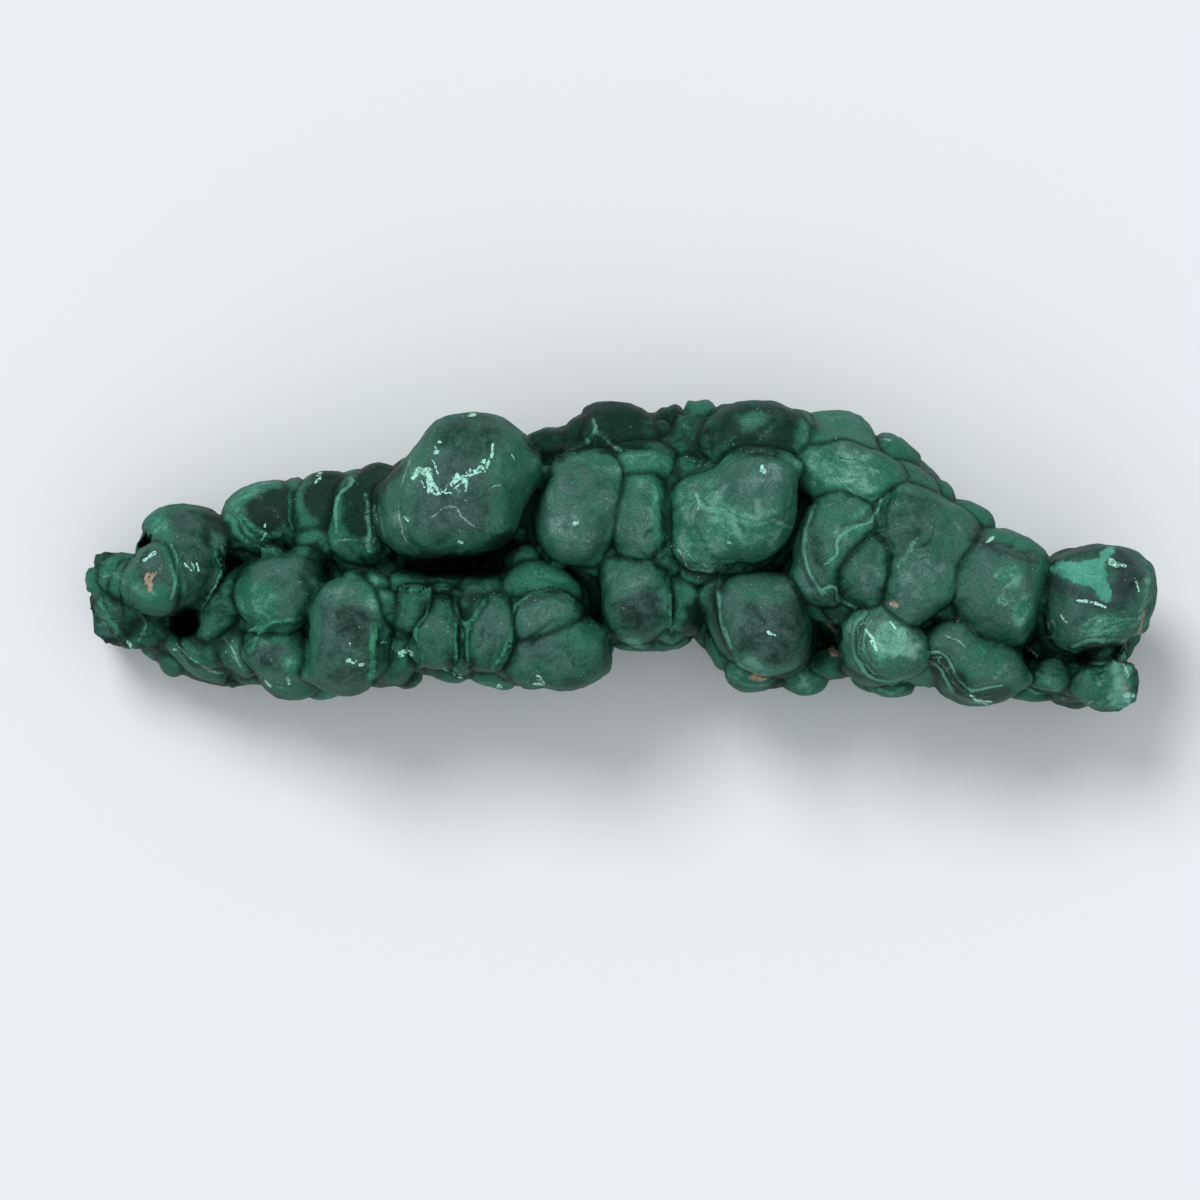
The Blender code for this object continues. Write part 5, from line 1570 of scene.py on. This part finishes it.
def grained_colour(nodes, place, noise, colour):
    """The colour with painted shade at the groove bottoms, fine pale crystals and a speckle over the
    whole.
    """
    # painted shade: darkens the bottom of each groove, most where two lumps meet
    bottom = nodes.ramp(nodes.value("crease"), 0.75, 0.0)
    colour = nodes.mix(nodes.math("MULTIPLY", bottom, 0.7), colour, linear(*GROOVE_SHADE))
    fleck = nodes.add("ShaderNodeTexVoronoi", feature="F1")
    nodes.join(place, fleck.inputs["Vector"])
    fleck.inputs["Scale"].default_value = 1.1
    some = nodes.ramp(nodes.noise(place, 3.0, 2.0), 0.5, 0.62)
    flecks = nodes.math("MULTIPLY", nodes.ramp(fleck.outputs["Distance"], 0.17, 0.09), some)
    colour = nodes.mix(nodes.math("MULTIPLY", flecks, 0.5), colour, linear(*CRYSTAL_COLOUR))
    speckle = nodes.ramp(noise.grain, 0.28, 0.72, 0.8, 1.2)
    speckle = nodes.math("MULTIPLY", speckle, nodes.ramp(noise.dust, 0.3, 0.7, 0.88, 1.13))
    return nodes.mix(1.0, colour, speckle, "MULTIPLY")


def grain_normal(nodes, noise, chip_and_highlight_mask):
    """The velvety grain, which is too fine for the mesh."""
    height = nodes.math("MULTIPLY", noise.grain, 0.8)
    height = nodes.math("ADD", height, nodes.math("MULTIPLY", noise.dust, 0.35))
    height = nodes.math("ADD", height, nodes.math("MULTIPLY", noise.wisp, 0.8))
    height = nodes.math("SUBTRACT", height, nodes.math("MULTIPLY", chip_and_highlight_mask, 0.5))
    bump = nodes.add("ShaderNodeBump")
    nodes.join(height, bump.inputs["Height"])
    bump.inputs["Strength"].default_value = GRAIN_STRENGTH
    bump.inputs["Distance"].default_value = GRAIN_HEIGHT * MM
    return bump.outputs["Normal"]


def malachite_material():
    material = bpy.data.materials.new("malachite")
    material.use_nodes = True
    tree = material.node_tree
    tree.nodes.clear()
    nodes = Nodes(tree)
    place = in_millimetres(nodes)
    noise = Noises(
        broad=nodes.noise(place, 8.0, 3.0, 0.55),
        cloud=nodes.noise(place, 3.0, 5.0, 0.62, 0.8),
        wisp=nodes.noise(place, 0.9, 3.0, 0.6, 1.2),
        grain=nodes.noise(place, 0.30, 2.0, 0.7),
        dust=nodes.noise(place, 0.15, 1.0, 0.5),
    )
    colour, chip_and_highlight_mask = marked_colour(nodes, place, noise, body_colour(nodes, noise))
    shader = nodes.add("ShaderNodeBsdfPrincipled")
    nodes.join(grained_colour(nodes, place, noise, colour), shader.inputs["Base Color"])
    nodes.join(nodes.ramp(noise.cloud, 0.3, 0.7, 0.42, 0.6), shader.inputs["Roughness"])
    shader.inputs["Specular IOR Level"].default_value = SHEEN
    nodes.join(grain_normal(nodes, noise, chip_and_highlight_mask), shader.inputs["Normal"])
    out = nodes.add("ShaderNodeOutputMaterial")
    nodes.join(shader.outputs["BSDF"], out.inputs["Surface"])
    return material


def floor_material():
    material = bpy.data.materials.new("studio_floor")
    material.use_nodes = True
    shader = material.node_tree.nodes["Principled BSDF"]
    shader.inputs["Base Color"].default_value = FLOOR_COLOUR
    shader.inputs["Roughness"].default_value = 0.9
    shader.inputs["Specular IOR Level"].default_value = 0.1
    return material


# ---------------------------------------------------------------- studio


def build_floor():
    mesh = bmesh.new()
    bmesh.ops.create_grid(mesh, x_segments=1, y_segments=1, size=2.0)
    data = bpy.data.meshes.new("studio_floor")
    mesh.to_mesh(data)
    mesh.free()
    floor = bpy.data.objects.new("studio_floor", data)
    bpy.context.collection.objects.link(floor)
    floor.data.materials.append(floor_material())


def build_lights():
    sun = bpy.data.lights.new("soft_key", "SUN")
    sun.energy = KEY_STRENGTH
    sun.angle = math.radians(KEY_SPREAD)
    sun.color = (1.0, 1.0, 1.0)
    lamp = bpy.data.objects.new("soft_key", sun)
    bpy.context.collection.objects.link(lamp)
    lamp.rotation_mode = "QUATERNION"
    lamp.rotation_quaternion = Vector(KEY_TRAVEL).to_track_quat("-Z", "Y")
    world = bpy.data.worlds.new("studio")
    world.use_nodes = True
    nodes = Nodes(world.node_tree)
    sky = world.node_tree.nodes["Background"]
    facing = nodes.add("ShaderNodeTexCoord").outputs["Generated"]
    lean = nodes.vector("DOT_PRODUCT", facing, SKY_LEAN, "Value")
    nodes.join(nodes.ramp(lean, *SKY_SPREAD, *SKY_RANGE), sky.inputs["Strength"])
    sky.inputs["Color"].default_value = SKY_COLOUR
    bpy.context.scene.world = world


def build_camera():
    """Looks straight down, with +Y at the top of the picture."""
    camera = bpy.data.cameras.new("camera")
    camera.sensor_width = 36.0
    camera.lens = camera.sensor_width * CAMERA_DISTANCE / PICTURE_WIDTH
    camera.clip_start = 0.05
    camera.clip_end = 10.0
    eye = bpy.data.objects.new("camera", camera)
    eye.location = (PICTURE_CENTRE[0] * MM, PICTURE_CENTRE[1] * MM, (CAMERA_DISTANCE + FOCUS) * MM)
    bpy.context.collection.objects.link(eye)
    bpy.context.scene.camera = eye


def main():
    scene = bpy.context.scene
    scene.view_settings.view_transform = "Standard"
    scene.view_settings.look = "None"
    build_floor()
    build_lights()
    build_camera()
    specimen = build_specimen()
    specimen.data.materials.append(malachite_material())
    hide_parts("malachite_stone")
    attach(specimen, "root")


main()
